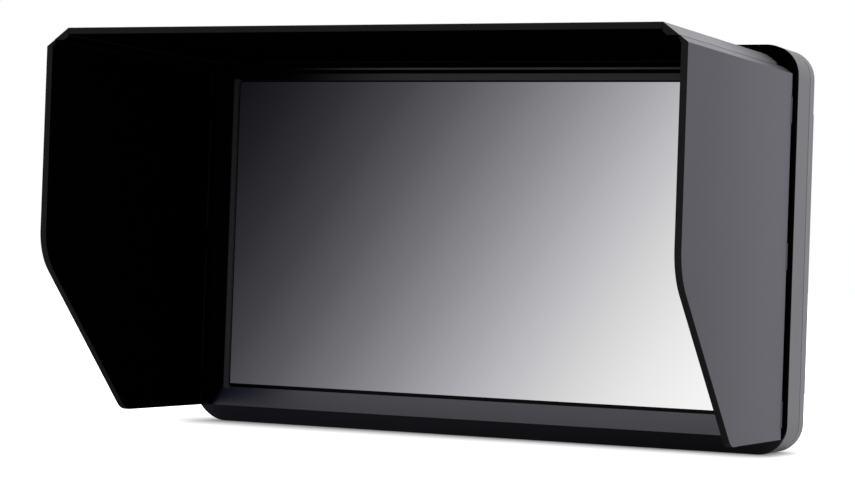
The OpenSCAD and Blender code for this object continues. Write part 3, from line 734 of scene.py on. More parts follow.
@dataclass(frozen=True)
class Picture:
    """Lit picture area of the panel: a plain grey ramp that runs down to the right.

    Attributes:
        name: Name of the material.
        middle: Height of the picture's middle.
        slant: Angle of the ramp below the x axis, in degrees.
        reach: Distance from the middle to either end of the ramp.
        tones: Display tones along the ramp, evenly spaced.
        tint: How many steps bluer the tones are.
        neutral: Tone from which they aren't.
    """

    name: str
    middle: float
    slant: float = 34.0
    reach: float = 90 * MM
    tones: tuple[float, ...] = (16, 30, 46, 65, 88, 113, 139, 165, 190, 212, 230, 242, 246)
    tint: float = 4.5
    neutral: float = 200

    def material(self) -> bpy.types.Material:
        """Build the material.

        Returns:
            The material.
        """
        graph = Graph(self.name)
        x, _, z = graph.axes()
        angle = math.radians(self.slant)
        along = (x * math.cos(angle) - (z - self.middle) * math.sin(angle)) / (2 * self.reach) + 0.5
        last = len(self.tones) - 1
        colours = (grey(tone, self.tint if tone < self.neutral else 0) for tone in self.tones)
        stops = [(i / last, colour) for i, colour in enumerate(colours)]
        lit = graph.node("ShaderNodeValToRGB", {"stops": stops}, {0: along}).outputs[0]
        frost = graph.noise(0.12 * MM, 1.0)
        return graph.finish(
            Base_Color=grey(6),
            Roughness=0.32 + (frost - 0.5) * 0.06,
            Specular_IOR_Level=0.12,
            Emission_Color=lit,
            Emission_Strength=1.0,
        )


@dataclass(frozen=True)
class Plain:
    """Even material of a small or inner piece, with a faint mottle.

    Attributes:
        name: Name of the material.
        tone: Its colour.
        roughness: Mean roughness.
        gloss: Specular level.
        mottle: Size of the mottle.
        depth: Depth of the relief.
    """

    name: str
    tone: Colour
    roughness: float = 0.6
    gloss: float = 0.5
    mottle: float = 1.0 * MM
    depth: float = 0.01 * MM

    def material(self) -> bpy.types.Material:
        """Build the material.

        Returns:
            The material.
        """
        graph = Graph(self.name)
        spots = graph.noise(self.mottle, 3.0)
        return graph.finish(
            Base_Color=graph.mottle(spots, self.tone, 0.8, 1.2),
            Roughness=self.roughness + (spots - 0.5) * 0.2,
            Specular_IOR_Level=self.gloss,
            Normal=graph.relief(spots, self.depth),
        )


@dataclass(frozen=True)
class SolderMask:
    """Green circuit board with copper tracks under its mask.

    Attributes:
        name: Name of the material.
        mask: Colour between the tracks.
        track: Colour over the tracks.
        pitch: Distance between tracks.
    """

    name: str
    mask: Colour = (0.012, 0.1, 0.04)
    track: Colour = (0.03, 0.2, 0.08)
    pitch: float = 0.8 * MM

    def material(self) -> bpy.types.Material:
        """Build the material.

        Returns:
            The material.
        """
        graph = Graph(self.name)
        x, _, z = graph.axes()
        step = graph.noise(14 * MM, 0.0) * 6 * MM
        rows = ((z + step) / self.pitch).math("FRACT").ramp(0.42, 0.5)
        columns = ((x + step) / (self.pitch * 3)).math("FRACT").ramp(0.42, 0.5)
        area = graph.noise(9 * MM, 0.0).ramp(0.48, 0.5)
        tracks = rows * area + columns * (1 - area)
        return graph.finish(
            Base_Color=graph.blend(tracks, self.mask, self.track),
            Roughness=0.35,
            Normal=graph.relief(tracks, 0.03 * MM),
        )


class Finish(Enum):
    """Finishes of the monitor's pieces, by the piece that wears them."""

    BEZEL = BezelSatin("bezel_satin_black")
    HOUSING = Painted("housing_satin_grey_paint", grey(82, 6))
    COVER = Painted("rear_cover_grey_paint", grey(99, 6), 0.46)
    HOOD_FRAME = FrameBlack("hood_frame_black")
    END_STOP = FrameBlack("end_stop_black", knuckle=grey(3, 1))
    HOOD_LEFT = HoodShell("hood_left_shell", (-1, 0, 0))
    HOOD_RIGHT = HoodShell("hood_right_shell", (1, 0, 0))
    HOOD_TOP = HoodShell("hood_top_shell", (0, 0, 1))
    STRIP_LEFT = HoodShell("hood_strip_left", (-0.6, 0, 0.8))
    STRIP_RIGHT = HoodShell("hood_strip_right", (0.6, 0, 0.8))
    PANEL_MASK = Plain("panel_black_mask", grey(3), 0.35, 0.08, 0.2 * MM, 0.0005 * MM)
    FELT = Plain("seal_felt_black", grey(6), 0.95, 0.05, 0.12 * MM, 0.05 * MM)
    PANEL_EDGE = Plain("panel_glass_edge", grey(60, 4), 0.25, 0.5, 2 * MM, 0.001 * MM)
    FOAM = Plain("gasket_foam", grey(20), 0.95, 0.1, 0.25 * MM, 0.08 * MM)
    ACRYLIC = Plain("light_guide_acrylic", grey(238, 3), 0.12, 0.6, 8 * MM, 0.001 * MM)
    LEDS = Plain("diode_strip", grey(230, -20), 0.4, 0.5, 0.6 * MM, 0.01 * MM)
    TRAY = Metal("tray_galvanised", grey(205, 2), 0.35, (0.3, 1.0, 1.0))
    CHASSIS = Metal("chassis_galvanised", grey(198, 3), 0.4, (1.0, 1.0, 0.2))
    SINK = Metal("sink_extruded_aluminium", grey(214, 3), 0.38, (1.0, 1.0, 0.05))
    BOARD = SolderMask("board_solder_mask")
    CHIPS = Plain("chip_packages", grey(40, 1), 0.55, 0.4, 0.15 * MM, 0.01 * MM)
    SCREW_BRIGHT = Metal("screw_plated", grey(205, 2), 0.25, (1.0, 0.1, 1.0))
    SCREW_BLACK = Metal("screw_black_oxide", grey(52, 2), 0.42, (1.0, 1.0, 1.0))
    FLEX = Plain("flex_polyimide", (0.42, 0.18, 0.03), 0.25, 0.6, 1.2 * MM, 0.004 * MM)
    SWITCH = Metal("switch_domes", grey(200), 0.3, (1.0, 1.0, 1.0))
    SOCKET_SHELL = Metal("socket_nickel", grey(196, -4), 0.22, (0.1, 1.0, 1.0))
    SOCKET_BLACK = Plain("socket_body_black", grey(28), 0.5, 0.45, 0.3 * MM, 0.01 * MM)
    INSERT = Metal("insert_turned_steel", grey(190, 2), 0.24, (1.0, 1.0, 0.1))
    PLATE = Moulded("battery_plate_black", grey(38, 1), 0.56, 0.4, 0.5 * MM, 0.03 * MM)
    CONTACT = Metal("contact_gold_flash", (0.83, 0.55, 0.2), 0.2, (1.0, 1.0, 0.1))
    SLIDER = Moulded("slider_black", grey(44, 1), 0.5, 0.45, 0.25 * MM, 0.012 * MM)
    SPRING = Metal("spring_wire", grey(190, 2), 0.22, (1.0, 1.0, 1.0))
    KEYS = Moulded("key_caps_black", grey(40, 1), 0.6, 0.4, 0.22 * MM, 0.01 * MM)
    PIN = Metal("pin_black_oxide", grey(40, 1), 0.45, (1.0, 1.0, 0.05))
    INK = Plain("pad_print_white", grey(225), 0.7, 0.3, 0.1 * MM, 0.001 * MM)

    def material(self) -> bpy.types.Material:
        """The finish as a material, built once."""
        return bpy.data.materials.get(self.value.name) or self.value.material()


class Shape:
    """A new piece under way, as one bmesh."""

    def __init__(self) -> None:
        """Start empty."""
        self.mesh = bmesh.new()

    def block(self, low: Point, high: Point) -> None:
        """Add a box.

        Args:
            low: Its lowest corner.
            high: Its highest corner.
        """
        size = [b - a for a, b in zip(low, high)]
        middle = [(a + b) / 2 for a, b in zip(low, high)]
        matrix = Matrix.Translation(middle) @ Matrix.Diagonal((*size, 1.0))
        bmesh.ops.create_cube(self.mesh, size=1.0, matrix=matrix)

    def side_block(self, side: int, box: Box) -> None:
        """Add a box at one side of the middle.

        Args:
            side: 1 for the right, or -1 for the left, where it is mirrored.
            box: Its lowest and highest corner at the right.
        """
        low, high = box
        near, far = sorted((side * low[0], side * high[0]))
        self.block((near, *low[1:]), (far, *high[1:]))

    def disc(
        self,
        middle: Point,
        radius: float,
        height: float,
        axis: str = "Z",
        sides: int = 32,
        turn: float = 0.0,
    ) -> None:
        """Add a cylinder, or a triangle plate where it has three sides.

        Args:
            middle: Its middle.
            radius: Its radius.
            height: Its length.
            axis: Axis along which it lies.
            sides: How many sides it has.
            turn: Angle by which it is turned about its own axis, in degrees.
        """
        lie = {"X": Matrix.Rotation(math.pi / 2, 4, "Y"), "Y": Matrix.Rotation(math.pi / 2, 4, "X")}
        turned = Matrix.Rotation(math.radians(turn), 4, "Z")
        bmesh.ops.create_cone(
            self.mesh,
            cap_ends=True,
            segments=sides,
            radius1=radius,
            radius2=radius,
            depth=height,
            matrix=Matrix.Translation(middle) @ lie.get(axis, Matrix()) @ turned,
        )

    def arc(
        self,
        middle: Point,
        radius: float,
        width: float,
        height: float,
        start: float = 0,
        sweep: float = 360,
    ) -> list[bmesh.types.BMVert]:
        """Add a flat ring or part of one, lying in a level plane.

        Args:
            middle: Middle of the ring, at its underside.
            radius: Radius of its middle line.
            width: Width of the band.
            height: Height of the band.
            start: Angle at which it starts, in degrees.
            sweep: Angle that it covers, in degrees.

        Returns:
            Its vertices.
        """
        half = width / 2
        inner, outer = radius - half, radius + half
        section = [(inner, 0), (outer, 0), (outer, height), (inner, height)]
        vertices = [self.mesh.verts.new((x, 0, z)) for x, z in section]
        face = self.mesh.faces.new(vertices)
        turn = Matrix.Translation(middle) @ Matrix.Rotation(math.radians(start), 4, "Z")
        bmesh.ops.transform(self.mesh, matrix=turn, verts=vertices)
        old = set(self.mesh.verts) - set(vertices)
        bmesh.ops.spin(
            self.mesh,
            geom=[face, *face.edges, *vertices],
            cent=middle,
            axis=(0, 0, 1),
            angle=math.radians(sweep),
            steps=max(8, round(sweep / 10)),
            use_merge=sweep == 360,
        )
        return [vertex for vertex in self.mesh.verts if vertex not in old]

    def helix(
        self, foot: Point, radius: float, wire: float, pitch: float, turns: int, sides: int
    ) -> None:
        """Add an upright helix: a thread ridge where its section has three sides, or a wire coil.

        Args:
            foot: Middle of the helix at its start.
            radius: Radius of its middle line.
            wire: Radius of its section.
            pitch: Rise of one turn.
            turns: How many turns it has.
            sides: How many sides the section has, one corner towards the middle.
        """
        place = Matrix.Translation((foot[0] + radius, foot[1], foot[2]))
        lie = Matrix.Rotation(math.pi / 2, 4, "X") @ Matrix.Rotation(math.pi / 2, 4, "Z")
        made = bmesh.ops.create_circle(
            self.mesh, cap_ends=True, segments=sides, radius=wire, matrix=place @ lie
        )
        section = set(made["verts"])
        edges = [edge for edge in self.mesh.edges if section.issuperset(edge.verts)]
        faces = [face for face in self.mesh.faces if section.issuperset(face.verts)]
        steps = 36 * turns
        bmesh.ops.spin(
            self.mesh,
            geom=[*faces, *edges, *made["verts"]],
            cent=foot,
            axis=(0, 0, 1),
            dvec=(0, 0, pitch * turns / steps),
            angle=math.tau * turns,
            steps=steps,
        )

    def bevel(self, pick: EdgeTest, width: float, segments: int, clamp: bool = False) -> None:
        """Cut back some edges.

        Args:
            pick: Test that these edges pass.
            width: Distance by which each is cut back.
            segments: How many faces the cut has: 1 for a slant, more for a rounding.
            clamp: Whether the width gives way where there is no room for it.
        """
        bmesh.ops.bevel(
            self.mesh,
            geom=[edge for edge in self.mesh.edges if pick(edge)],
            offset=width,
            offset_type="OFFSET",
            segments=segments,
            profile=0.5,
            affect="EDGES",
            clamp_overlap=clamp,
            material=-1,
        )

    def soften(self, width: float, pick: Optional[EdgeTest] = None) -> None:
        """Round the sharp edges a little.

        Args:
            width: Width of the rounding.
            pick: Test that an edge has to pass besides being sharp.
        """

        def is_sharp(edge: bmesh.types.BMEdge) -> bool:
            """Whether an edge is sharp and passes the test."""
            steep = len(edge.link_faces) == 2 and edge.calc_face_angle(0.0) > SHARP
            return steep and (pick is None or pick(edge))

        self.bevel(is_sharp, width, 2, clamp=True)

    def round_toe(self, width: float) -> None:
        """Round the lower front corner of an upright plate.

        Args:
            width: Radius of the rounding.
        """
        foot = min(vertex.co.z for vertex in self.mesh.verts)
        low = {vertex for vertex in self.mesh.verts if vertex.co.z < foot + NEAR}
        front = min(vertex.co.y for vertex in low)
        corner = {vertex for vertex in low if vertex.co.y < front + NEAR}
        self.bevel(lambda edge: corner.issuperset(edge.verts), width, 5)

    def take(self, node: str) -> None:
        """Add a merged copy of a CAD node's mesh, its flat faces made whole.

        Args:
            node: The CAD node.
        """
        self.mesh.from_mesh(bpy.data.objects[node].data)
        bmesh.ops.remove_doubles(self.mesh, verts=self.mesh.verts, dist=MERGE)
        bmesh.ops.dissolve_limit(
            self.mesh,
            angle_limit=FLAT,
            verts=self.mesh.verts,
            edges=self.mesh.edges,
            use_dissolve_boundaries=False,
        )

    def piece(
        self, name: str, finishes: Sequence[Finish], body: str, smooth: float = 30.0
    ) -> bpy.types.Object:
        """Turn the bmesh into a piece that rides on a body.

        Args:
            name: Name of the piece.
            finishes: Its finishes, by material number.
            body: The CAD body that it moves with.
            smooth: Angle up to which faces shade as one, in degrees.

        Returns:
            The piece.
        """
        data = bpy.data.meshes.new(name)
        bmesh.ops.recalc_face_normals(self.mesh, faces=self.mesh.faces)
        self.mesh.to_mesh(data)
        self.mesh.free()
        data.shade_smooth()
        data.set_sharp_from_angle(angle=math.radians(smooth))
        for finish in finishes:
            data.materials.append(finish.material())
        piece = add(name, data)
        piece.modifiers.new("flat_faces_stay_flat", "WEIGHTED_NORMAL").keep_sharp = True
        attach(piece, body)
        log.info("%s: %d faces on %s", name, len(data.polygons), body)
        return piece


def dress(nodes: Mapping[str, Finish]) -> None:
    """Give CAD nodes their finishes.

    Args:
        nodes: Finish of each node, by its name.
    """
    for name, finish in nodes.items():
        node = bpy.data.objects[name]
        node.data.materials.clear()
        node.data.materials.append(finish.material())
        log.info("%s: %s", name, finish.name.lower())


def softened(
    node: str,
    finish: Finish,
    body: str,
    width: float,
    pick: Optional[EdgeTest] = None,
    toe: float = 0.0,
) -> bpy.types.Object:
    """Put a copy with rounded edges in the place of a CAD node.

    Args:
        node: The CAD node.
        finish: Finish of the piece.
        body: The CAD body that it moves with.
        width: Width of the rounding.
        pick: Test for the edges that are rounded.
        toe: Larger rounding of the lower front corner, or 0.

    Returns:
        The piece.
    """
    shape = Shape()
    shape.take(node)
    if toe:
        shape.round_toe(toe)
    shape.soften(width, pick)
    piece = shape.piece(f"{node}_soft", [finish], body)
    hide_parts(node)
    return piece


@dataclass
class Screen:
    """Panel with its black mask and lit picture, and the backlight behind it.

    Attributes:
        picture_w: Width of the lit picture.
        picture_h: Height of the lit picture.
        chin: Height of the picture's lower edge.
        edge: Rounding of the glass edges.
        corner: Rounding of the glass's four corners.
        front: Depth within which a face belongs to the glass's front, not to its edge.
    """

    picture_w: float = 156.6 * MM
    picture_h: float = 87.2 * MM
    chin: float = 11 * MM
    edge: float = 0.12 * MM
    corner: float = 0.8 * MM
    front: float = 0.02 * MM

    def panel(self) -> None:
        """Build the panel in the place of its CAD node, its picture area a face of its own."""
        low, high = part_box("lcd_panel")
        side, top = self.picture_w / 2, self.chin + self.picture_h
        shape = Shape()
        shape.block(low, high)
        shape.bevel(lambda edge: abs(edge.verts[0].co.y - edge.verts[1].co.y) > NEAR, self.corner, 4)
        shape.soften(self.edge)
        upright = [((x, 0, 0), (1, 0, 0)) for x in (-side, side)]
        level = [((0, 0, z), (0, 0, 1)) for z in (self.chin, top)]
        for point, normal in upright + level:
            faces = [face for face in shape.mesh.faces if face.calc_center_median().y < low.y + NEAR]
            edges = [edge for edge in shape.mesh.edges if not set(faces).isdisjoint(edge.link_faces)]
            bmesh.ops.bisect_plane(
                shape.mesh, geom=[*faces, *edges], dist=1e-7, plane_co=point, plane_no=normal
            )
        for face in shape.mesh.faces:
            middle = face.calc_center_median()
            if middle.y > low.y + self.front:
                face.material_index = 2
            elif abs(middle.x) < side and self.chin < middle.z < top:
                face.material_index = 1
        piece = shape.piece("display_panel", [Finish.PANEL_MASK], "monitor")
        piece.data.materials.append(Picture("picture_grey_ramp", (self.chin + top) / 2).material())
        piece.data.materials.append(Finish.PANEL_EDGE.material())
        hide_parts("lcd_panel")

    def build(self) -> None:
        """Build the panel and dress the backlight."""
        self.panel()
        dress(
            {
                "lcd_gasket": Finish.FOAM,
                "light_guide": Finish.ACRYLIC,
                "led_strip": Finish.LEDS,
                "backlight_tray": Finish.TRAY,
                "chassis_plate": Finish.CHASSIS,
            }
        )


@dataclass
class Hood:
    """Three folding plates, their slanted corner strips and the frame that they are hinged to.

    The trim is given as it lies at the right, each box by its lowest and highest corner.

    Attributes:
        edge: Rounding of the plates' edges.
        toe: Rounding of a side plate's lower front corner.
        hinge_room: Room behind the rounded edges for the hinge barrel.
        seal: Felt seal, its top inside the corner strip.
        flap: Flap along a side plate, its outer face in the plate.
        flap_slant: Width of the slant along its free edge, which carries on the corner strip's face.
        ledge: Ledge of the flap, under the seal.
        stop: End stop over a side plate's hinge.
        stop_edge: Rounding of its edges.
    """

    edge: float = 0.3 * MM
    toe: float = 3.0 * MM
    hinge_room: float = 3.2 * MM
    seal: Box = ((84.85 * MM, -94 * MM, 101.47 * MM), (85.2 * MM, -15.1 * MM, 101.9 * MM))
    flap: Box = ((85.27 * MM, -94 * MM, 100.4 * MM), (85.63 * MM, -10.8 * MM, 101.78 * MM))
    flap_slant: float = 0.28 * MM
    ledge: Box = ((84.85 * MM, -94 * MM, 101.12 * MM), (85.27 * MM, -15.1 * MM, 101.4 * MM))
    stop: Box = ((86.62 * MM, -12.2 * MM, 101.65 * MM), (87.2 * MM, -8.03 * MM, 103.2 * MM))
    stop_edge: float = 0.15 * MM

    def plate(self, node: str, finish: Finish, body: str, toe: float) -> None:
        """Build a plate whose edges are rounded in front of its hinge.

        Args:
            node: The CAD node.
            finish: Its finish.
            body: The CAD body that it moves with.
            toe: Rounding of its lower front corner, or 0.
        """
        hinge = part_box(node)[1].y - self.hinge_room

        def clear_of_hinge(edge: bmesh.types.BMEdge) -> bool:
            """Whether an edge lies in front of the hinge barrel."""
            return all(vertex.co.y < hinge for vertex in edge.verts)

        softened(node, finish, body, self.edge, clear_of_hinge, toe)

    def seals(self) -> None:
        """Build the felt seals under the corner strips."""
        shape = Shape()
        for side in (-1, 1):
            shape.side_block(side, self.seal)
        shape.piece("hood_felt_seals", [Finish.FELT], "top_panel")

    def side_flap(self, side: int, name: str, finish: Finish, body: str) -> None:
        """Build the flap and ledge of a side plate, which close its seam to the corner strip.

        Args:
            side: 1 for the right, or -1 for the left.
            name: Name of the piece.
            finish: Its finish, which is the plate's.
            body: The CAD body that it moves with.
        """
        shape = Shape()
        shape.side_block(side, self.flap)
        shape.side_block(side, self.ledge)
        outer, _, top = self.flap[1]

        def is_ridge(edge: bmesh.types.BMEdge) -> bool:
            """Whether an edge is the flap's upper outer one."""
            ends = [vertex.co for vertex in edge.verts]
            return all(abs(end.x - side * outer) < NEAR and abs(end.z - top) < NEAR for end in ends)

        shape.bevel(is_ridge, self.flap_slant, 1)
        shape.piece(name, [finish], body)

    def stops(self) -> None:
        """Build the end stops on the frame."""
        shape = Shape()
        for side in (-1, 1):
            shape.side_block(side, self.stop)
        shape.soften(self.stop_edge)
        shape.piece("hood_end_stops", [Finish.END_STOP], "monitor")

    def build(self) -> None:
        """Build the plates, seals, flaps and stops, and dress the strips, the frame and the pins."""
        self.plate("hood_left", Finish.HOOD_LEFT, "left_panel", self.toe)
        self.plate("hood_right", Finish.HOOD_RIGHT, "right_panel", self.toe)
        self.plate("hood_top", Finish.HOOD_TOP, "top_panel", 0.0)
        self.seals()
        self.side_flap(-1, "hood_flap_left", Finish.HOOD_LEFT, "left_panel")
        self.side_flap(1, "hood_flap_right", Finish.HOOD_RIGHT, "right_panel")
        self.stops()
        dress(
            {
                "hood_corner_left": Finish.STRIP_LEFT,
                "hood_corner_right": Finish.STRIP_RIGHT,
                "hood_frame": Finish.HOOD_FRAME,
                "left_hinge_pin": Finish.PIN,
                "right_hinge_pin": Finish.PIN,
                "top_hinge_pin": Finish.PIN,
            }
        )


@dataclass
class Housing:
    """Bezel, grey band and rear cover, with their screws and the threaded tripod insert.

    Attributes:
        thread_r: Radius of the thread's middle line.
        ridge_r: Radius of the ridge's section.
        pitch: Rise of one turn.
        turns: How many turns it has.
        mouth: Height at which it starts.
    """

    thread_r: float = 3.04 * MM
    ridge_r: float = 0.36 * MM
    pitch: float = 1.27 * MM
    turns: int = 5
    mouth: float = 0.62 * MM

    def build(self) -> None:
        """Dress the housing and cut the insert's thread."""
        dress(
            {
                "front_bezel": Finish.BEZEL,
                "middle_frame": Finish.HOUSING,
                "rear_cover": Finish.COVER,
                "cover_screws": Finish.SCREW_BLACK,
                "tripod_insert": Finish.INSERT,
            }
        )
        shape = Shape()
        shape.helix((0, 0, self.mouth), self.thread_r, self.ridge_r, self.pitch, self.turns, 3)
        shape.piece("tripod_thread", [Finish.INSERT], "monitor")


@dataclass
class Electronics:
    """Boards, chips, cooling fins, flat cables and sockets.

    Attributes:
        video: Heights of the two video sockets.
        socket_y: Middle of the sockets along y.
        tongue: Front and rear end of a tongue, along x.
        tongue_t: Thickness of a tongue.
        tongue_w: Width of a tongue.
        contacts: How many contacts lie on a tongue's front and on its rear face.
        contact_pitch: Distance between contacts.
        contact_w: Width of a contact.
        contact_t: Thickness of a contact.
        contact_gap: How far the contacts end behind the tongue's front end.
        skin: How far a sleeve stands off the form under it.
        ring: Middle of the ring at the headphone socket's mouth, at the ring's inner face.
        ring_r: Radius of its middle line.
        ring_w: Width of the ring.
        ring_t: Thickness of the ring.
        pin: Middle of the power socket's pin.
        pin_r: Radius of the pin.
        pin_l: Length of the pin.
    """

    video: tuple[float, float] = (52 * MM, 74 * MM)
    socket_y: float = 0.9 * MM
    tongue: tuple[float, float] = (-86.6 * MM, -77.2 * MM)
    tongue_t: float = 1.6 * MM
    tongue_w: float = 10.2 * MM
    contacts: tuple[int, int] = (10, 9)
    contact_pitch: float = 1.0 * MM
    contact_w: float = 0.5 * MM
    contact_t: float = 0.08 * MM
    contact_gap: float = 0.4 * MM
    skin: float = 0.03 * MM
    ring: Point = (-87.54 * MM, 0.9 * MM, 36 * MM)
    ring_r: float = 2.05 * MM
    ring_w: float = 0.5 * MM
    ring_t: float = 0.12 * MM
    pin: Point = (-81 * MM, 1.35 * MM, 24 * MM)
    pin_r: float = 1.0 * MM
    pin_l: float = 8.6 * MM

    def tongues(self) -> None:
        """Sleeve the video sockets' tongues and lay gold contacts along both faces."""
        sleeves = Shape()
        contacts = Shape()
        start, end = self.tongue
        reach = self.tongue_t / 2 + self.skin
        half = self.tongue_w / 2 + self.skin
        for z in self.video:
            low = (start - self.skin, self.socket_y - reach, z - half)
            sleeves.block(low, (end, self.socket_y + reach, z + half))
            for side, count in zip((-1, 1), self.contacts):
                face = self.socket_y + side * reach
                near, far = sorted((face, face + side * self.contact_t))
                for i in range(count):
                    middle = z + (i - (count - 1) / 2) * self.contact_pitch
                    low = (start + self.contact_gap, near, middle - self.contact_w / 2)
                    contacts.block(low, (end, far, middle + self.contact_w / 2))
        sleeves.piece("video_tongues", [Finish.SOCKET_BLACK], "monitor")
        contacts.piece("video_contacts", [Finish.CONTACT], "monitor")

    def rings(self) -> None:
        """Plate the headphone socket's mouth and the power socket's pin."""
        shape = Shape()
        ring = shape.arc((0, 0, 0), self.ring_r, self.ring_w, self.ring_t)
        turn = Matrix.Translation(self.ring) @ Matrix.Rotation(-math.pi / 2, 4, "Y")
        bmesh.ops.transform(shape.mesh, matrix=turn, verts=ring)
        shape.disc(self.pin, self.pin_r + self.skin, self.pin_l, "X", 24)
        shape.piece("socket_plating", [Finish.SOCKET_SHELL], "monitor")

    def build(self) -> None:
        """Dress the electronics and build the sockets' fine pieces."""
        dress(
            {
                "main_board": Finish.BOARD,
                "board_chips": Finish.CHIPS,
                "board_screws": Finish.SCREW_BRIGHT,
                "heat_sink": Finish.SINK,
                "display_flex": Finish.FLEX,
                "key_board": Finish.BOARD,
                "key_switches": Finish.SWITCH,
                "key_flex": Finish.FLEX,
                "hdmi_input": Finish.SOCKET_SHELL,
                "hdmi_output": Finish.SOCKET_SHELL,
                "headphone_jack": Finish.SOCKET_BLACK,
                "power_jack": Finish.SOCKET_BLACK,
            }
        )
        self.tongues()
        self.rings()


@dataclass
class Keys:
    """Row of keys on the top wall, each with a mark printed behind it.

    Attributes:
        names: The keys, from the left.
        first_x: Middle of the first key.
        pitch: Distance between keys.
        mark_y: Middle of the marks along y.
        size: Half the size of a mark.
        stroke: Width of a stroke.
        head: Radius of an arrow's head.
        wall: Height of the top wall.
        ink: Thickness of the print.
        edge: Rounding of a key's edge.
    """

    names: tuple[str, ...] = ("input", "menu", "minus", "plus", "exit", "function", "power")
    first_x: float = 18 * MM
    pitch: float = 9 * MM
    mark_y: float = 3.85 * MM
    size: float = 0.75 * MM
    stroke: float = 0.22 * MM
    head: float = 0.418 * MM
    wall: float = 108 * MM
    ink: float = 0.03 * MM
    edge: float = 0.12 * MM

    def bar(self, shape: Shape, x: float, y: float, width: float, depth: float) -> None:
        """Print a bar centred on a point of the top wall."""
        low = (x - width / 2, y - depth / 2, self.wall - self.ink)
        shape.block(low, (x + width / 2, y + depth / 2, self.wall + self.ink))

    def mark(self, shape: Shape, name: str, x: float) -> None:
        """Add the mark of one key.

        Args:
            shape: The print.
            name: The key.
            x: Middle of the key.
        """
        y, size, stroke, thick = self.mark_y, self.size, self.stroke, 2 * self.ink
        low = self.wall - self.ink
        if name in ("minus", "plus"):
            self.bar(shape, x, y, 2 * size, stroke)
        if name == "plus":
            self.bar(shape, x, y, stroke, 2 * size)
        if name == "menu":
            for step in (-1, 0, 1):
                self.bar(shape, x, y + step * size * 0.7, 2 * size, stroke)
        if name == "power":
            shape.arc((x, y, low), size, stroke, thick, 125, 290)
            self.bar(shape, x, y + size * 0.7, stroke, size)
        if name == "function":
            shape.arc((x, y, low), size, stroke, thick)
            shape.disc((x, y, self.wall), stroke * 1.2, thick)
        if name == "exit":
            shape.arc((x, y, low), size, stroke, thick, -80, 250)
            shape.disc((x - size, y - size * 0.3, self.wall), self.head, thick, "Z", 3, 30)
        if name == "input":
            self.bar(shape, x - size * 0.35, y, size * 1.2, stroke)
            shape.disc((x + size * 0.3, y, self.wall), self.head, thick, "Z", 3, 90)
            self.bar(shape, x + size, y, stroke, 2 * size)

    def build(self) -> None:
        """Build the keys and print their marks."""
        shape = Shape()
        for i, name in enumerate(self.names):
            softened(f"{name}_key", Finish.KEYS, f"{name}_key_cap", self.edge)
            self.mark(shape, name, self.first_x + i * self.pitch)
        shape.piece("key_marks", [Finish.INK], "monitor")


@dataclass
class BatteryMount:
    """Battery plate with its contacts, release slider and spring.

    Attributes:
        edge: Rounding of the plate's edges.
        coil_r: Radius of the spring's middle line.
        wire: Radius of its wire.
        coil_turns: How many turns it has.
        travel: How far the slider presses it; not used.
        face: Place of the plate's face along y.
        arrow_z: Height of the release arrow's tip.
        arrow: Radius of its head.
        arrow_l: Height of the arrow.
        stem_w: Width of its stem.
        ink: Thickness of the print.
    """

    edge: float = 0.18 * MM
    coil_r: float = 1.0 * MM
    wire: float = 0.2 * MM
    coil_turns: int = 8
    travel: float = 4.0 * MM
    face: float = 16 * MM
    arrow_z: float = 40.5 * MM
    arrow: float = 1.6 * MM
    arrow_l: float = 4.8 * MM
    stem_w: float = 0.96 * MM
    ink: float = 0.03 * MM

    def spring(self) -> None:
        """Wind the spring, which the slider presses together."""
        low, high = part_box("release_spring")
        foot = (0.0, (low.y + high.y) / 2, low.z + self.wire)
        length = high.z - low.z
        rise = (length - 2 * self.wire) / self.coil_turns
        shape = Shape()
        shape.helix(foot, self.coil_r, self.wire, rise, self.coil_turns, 10)
        piece = shape.piece("release_coil", [Finish.SPRING], "monitor", 60)
        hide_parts("release_spring")
        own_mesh(piece)

    def build(self) -> None:
        """Dress the battery plate, wind its spring and print the arrow over its slider."""
        dress({"plate_screws": Finish.SCREW_BLACK, "battery_contacts": Finish.CONTACT})
        softened("battery_plate", Finish.PLATE, "monitor", self.edge)
        softened("release_slider", Finish.SLIDER, "battery_release", self.edge / 2)
        self.spring()
        shape = Shape()
        middle = self.arrow_z + self.arrow
        shape.disc((0, self.face, middle), self.arrow, 2 * self.ink, "Y", 3)
        low = (-self.stem_w / 2, self.face - self.ink, middle)
        shape.block(low, (self.stem_w / 2, self.face + self.ink, self.arrow_z + self.arrow_l))
        shape.piece("release_arrow", [Finish.INK], "monitor")


@dataclass(frozen=True)
class Lamp:
    """Soft square lamp.

    Attributes:
        name: Name of the lamp.
        place: Where it stands.
        width: Its width.
        watts: Its power.
    """

    name: str
    place: Point
    width: float
    watts: float

    def build(self, target: Point) -> None:
        """Set up the lamp.

        Args:
            target: Point that it is aimed at.
        """
        data = bpy.data.lights.new(self.name, "AREA")
        data.size = self.width
        data.energy = self.watts
        aim = Vector(self.place) - Vector(target)
        turn = aim.to_track_quat("Z", "Y").to_matrix().to_4x4()
        add(self.name, data).matrix_world = Matrix.Translation(self.place) @ turn


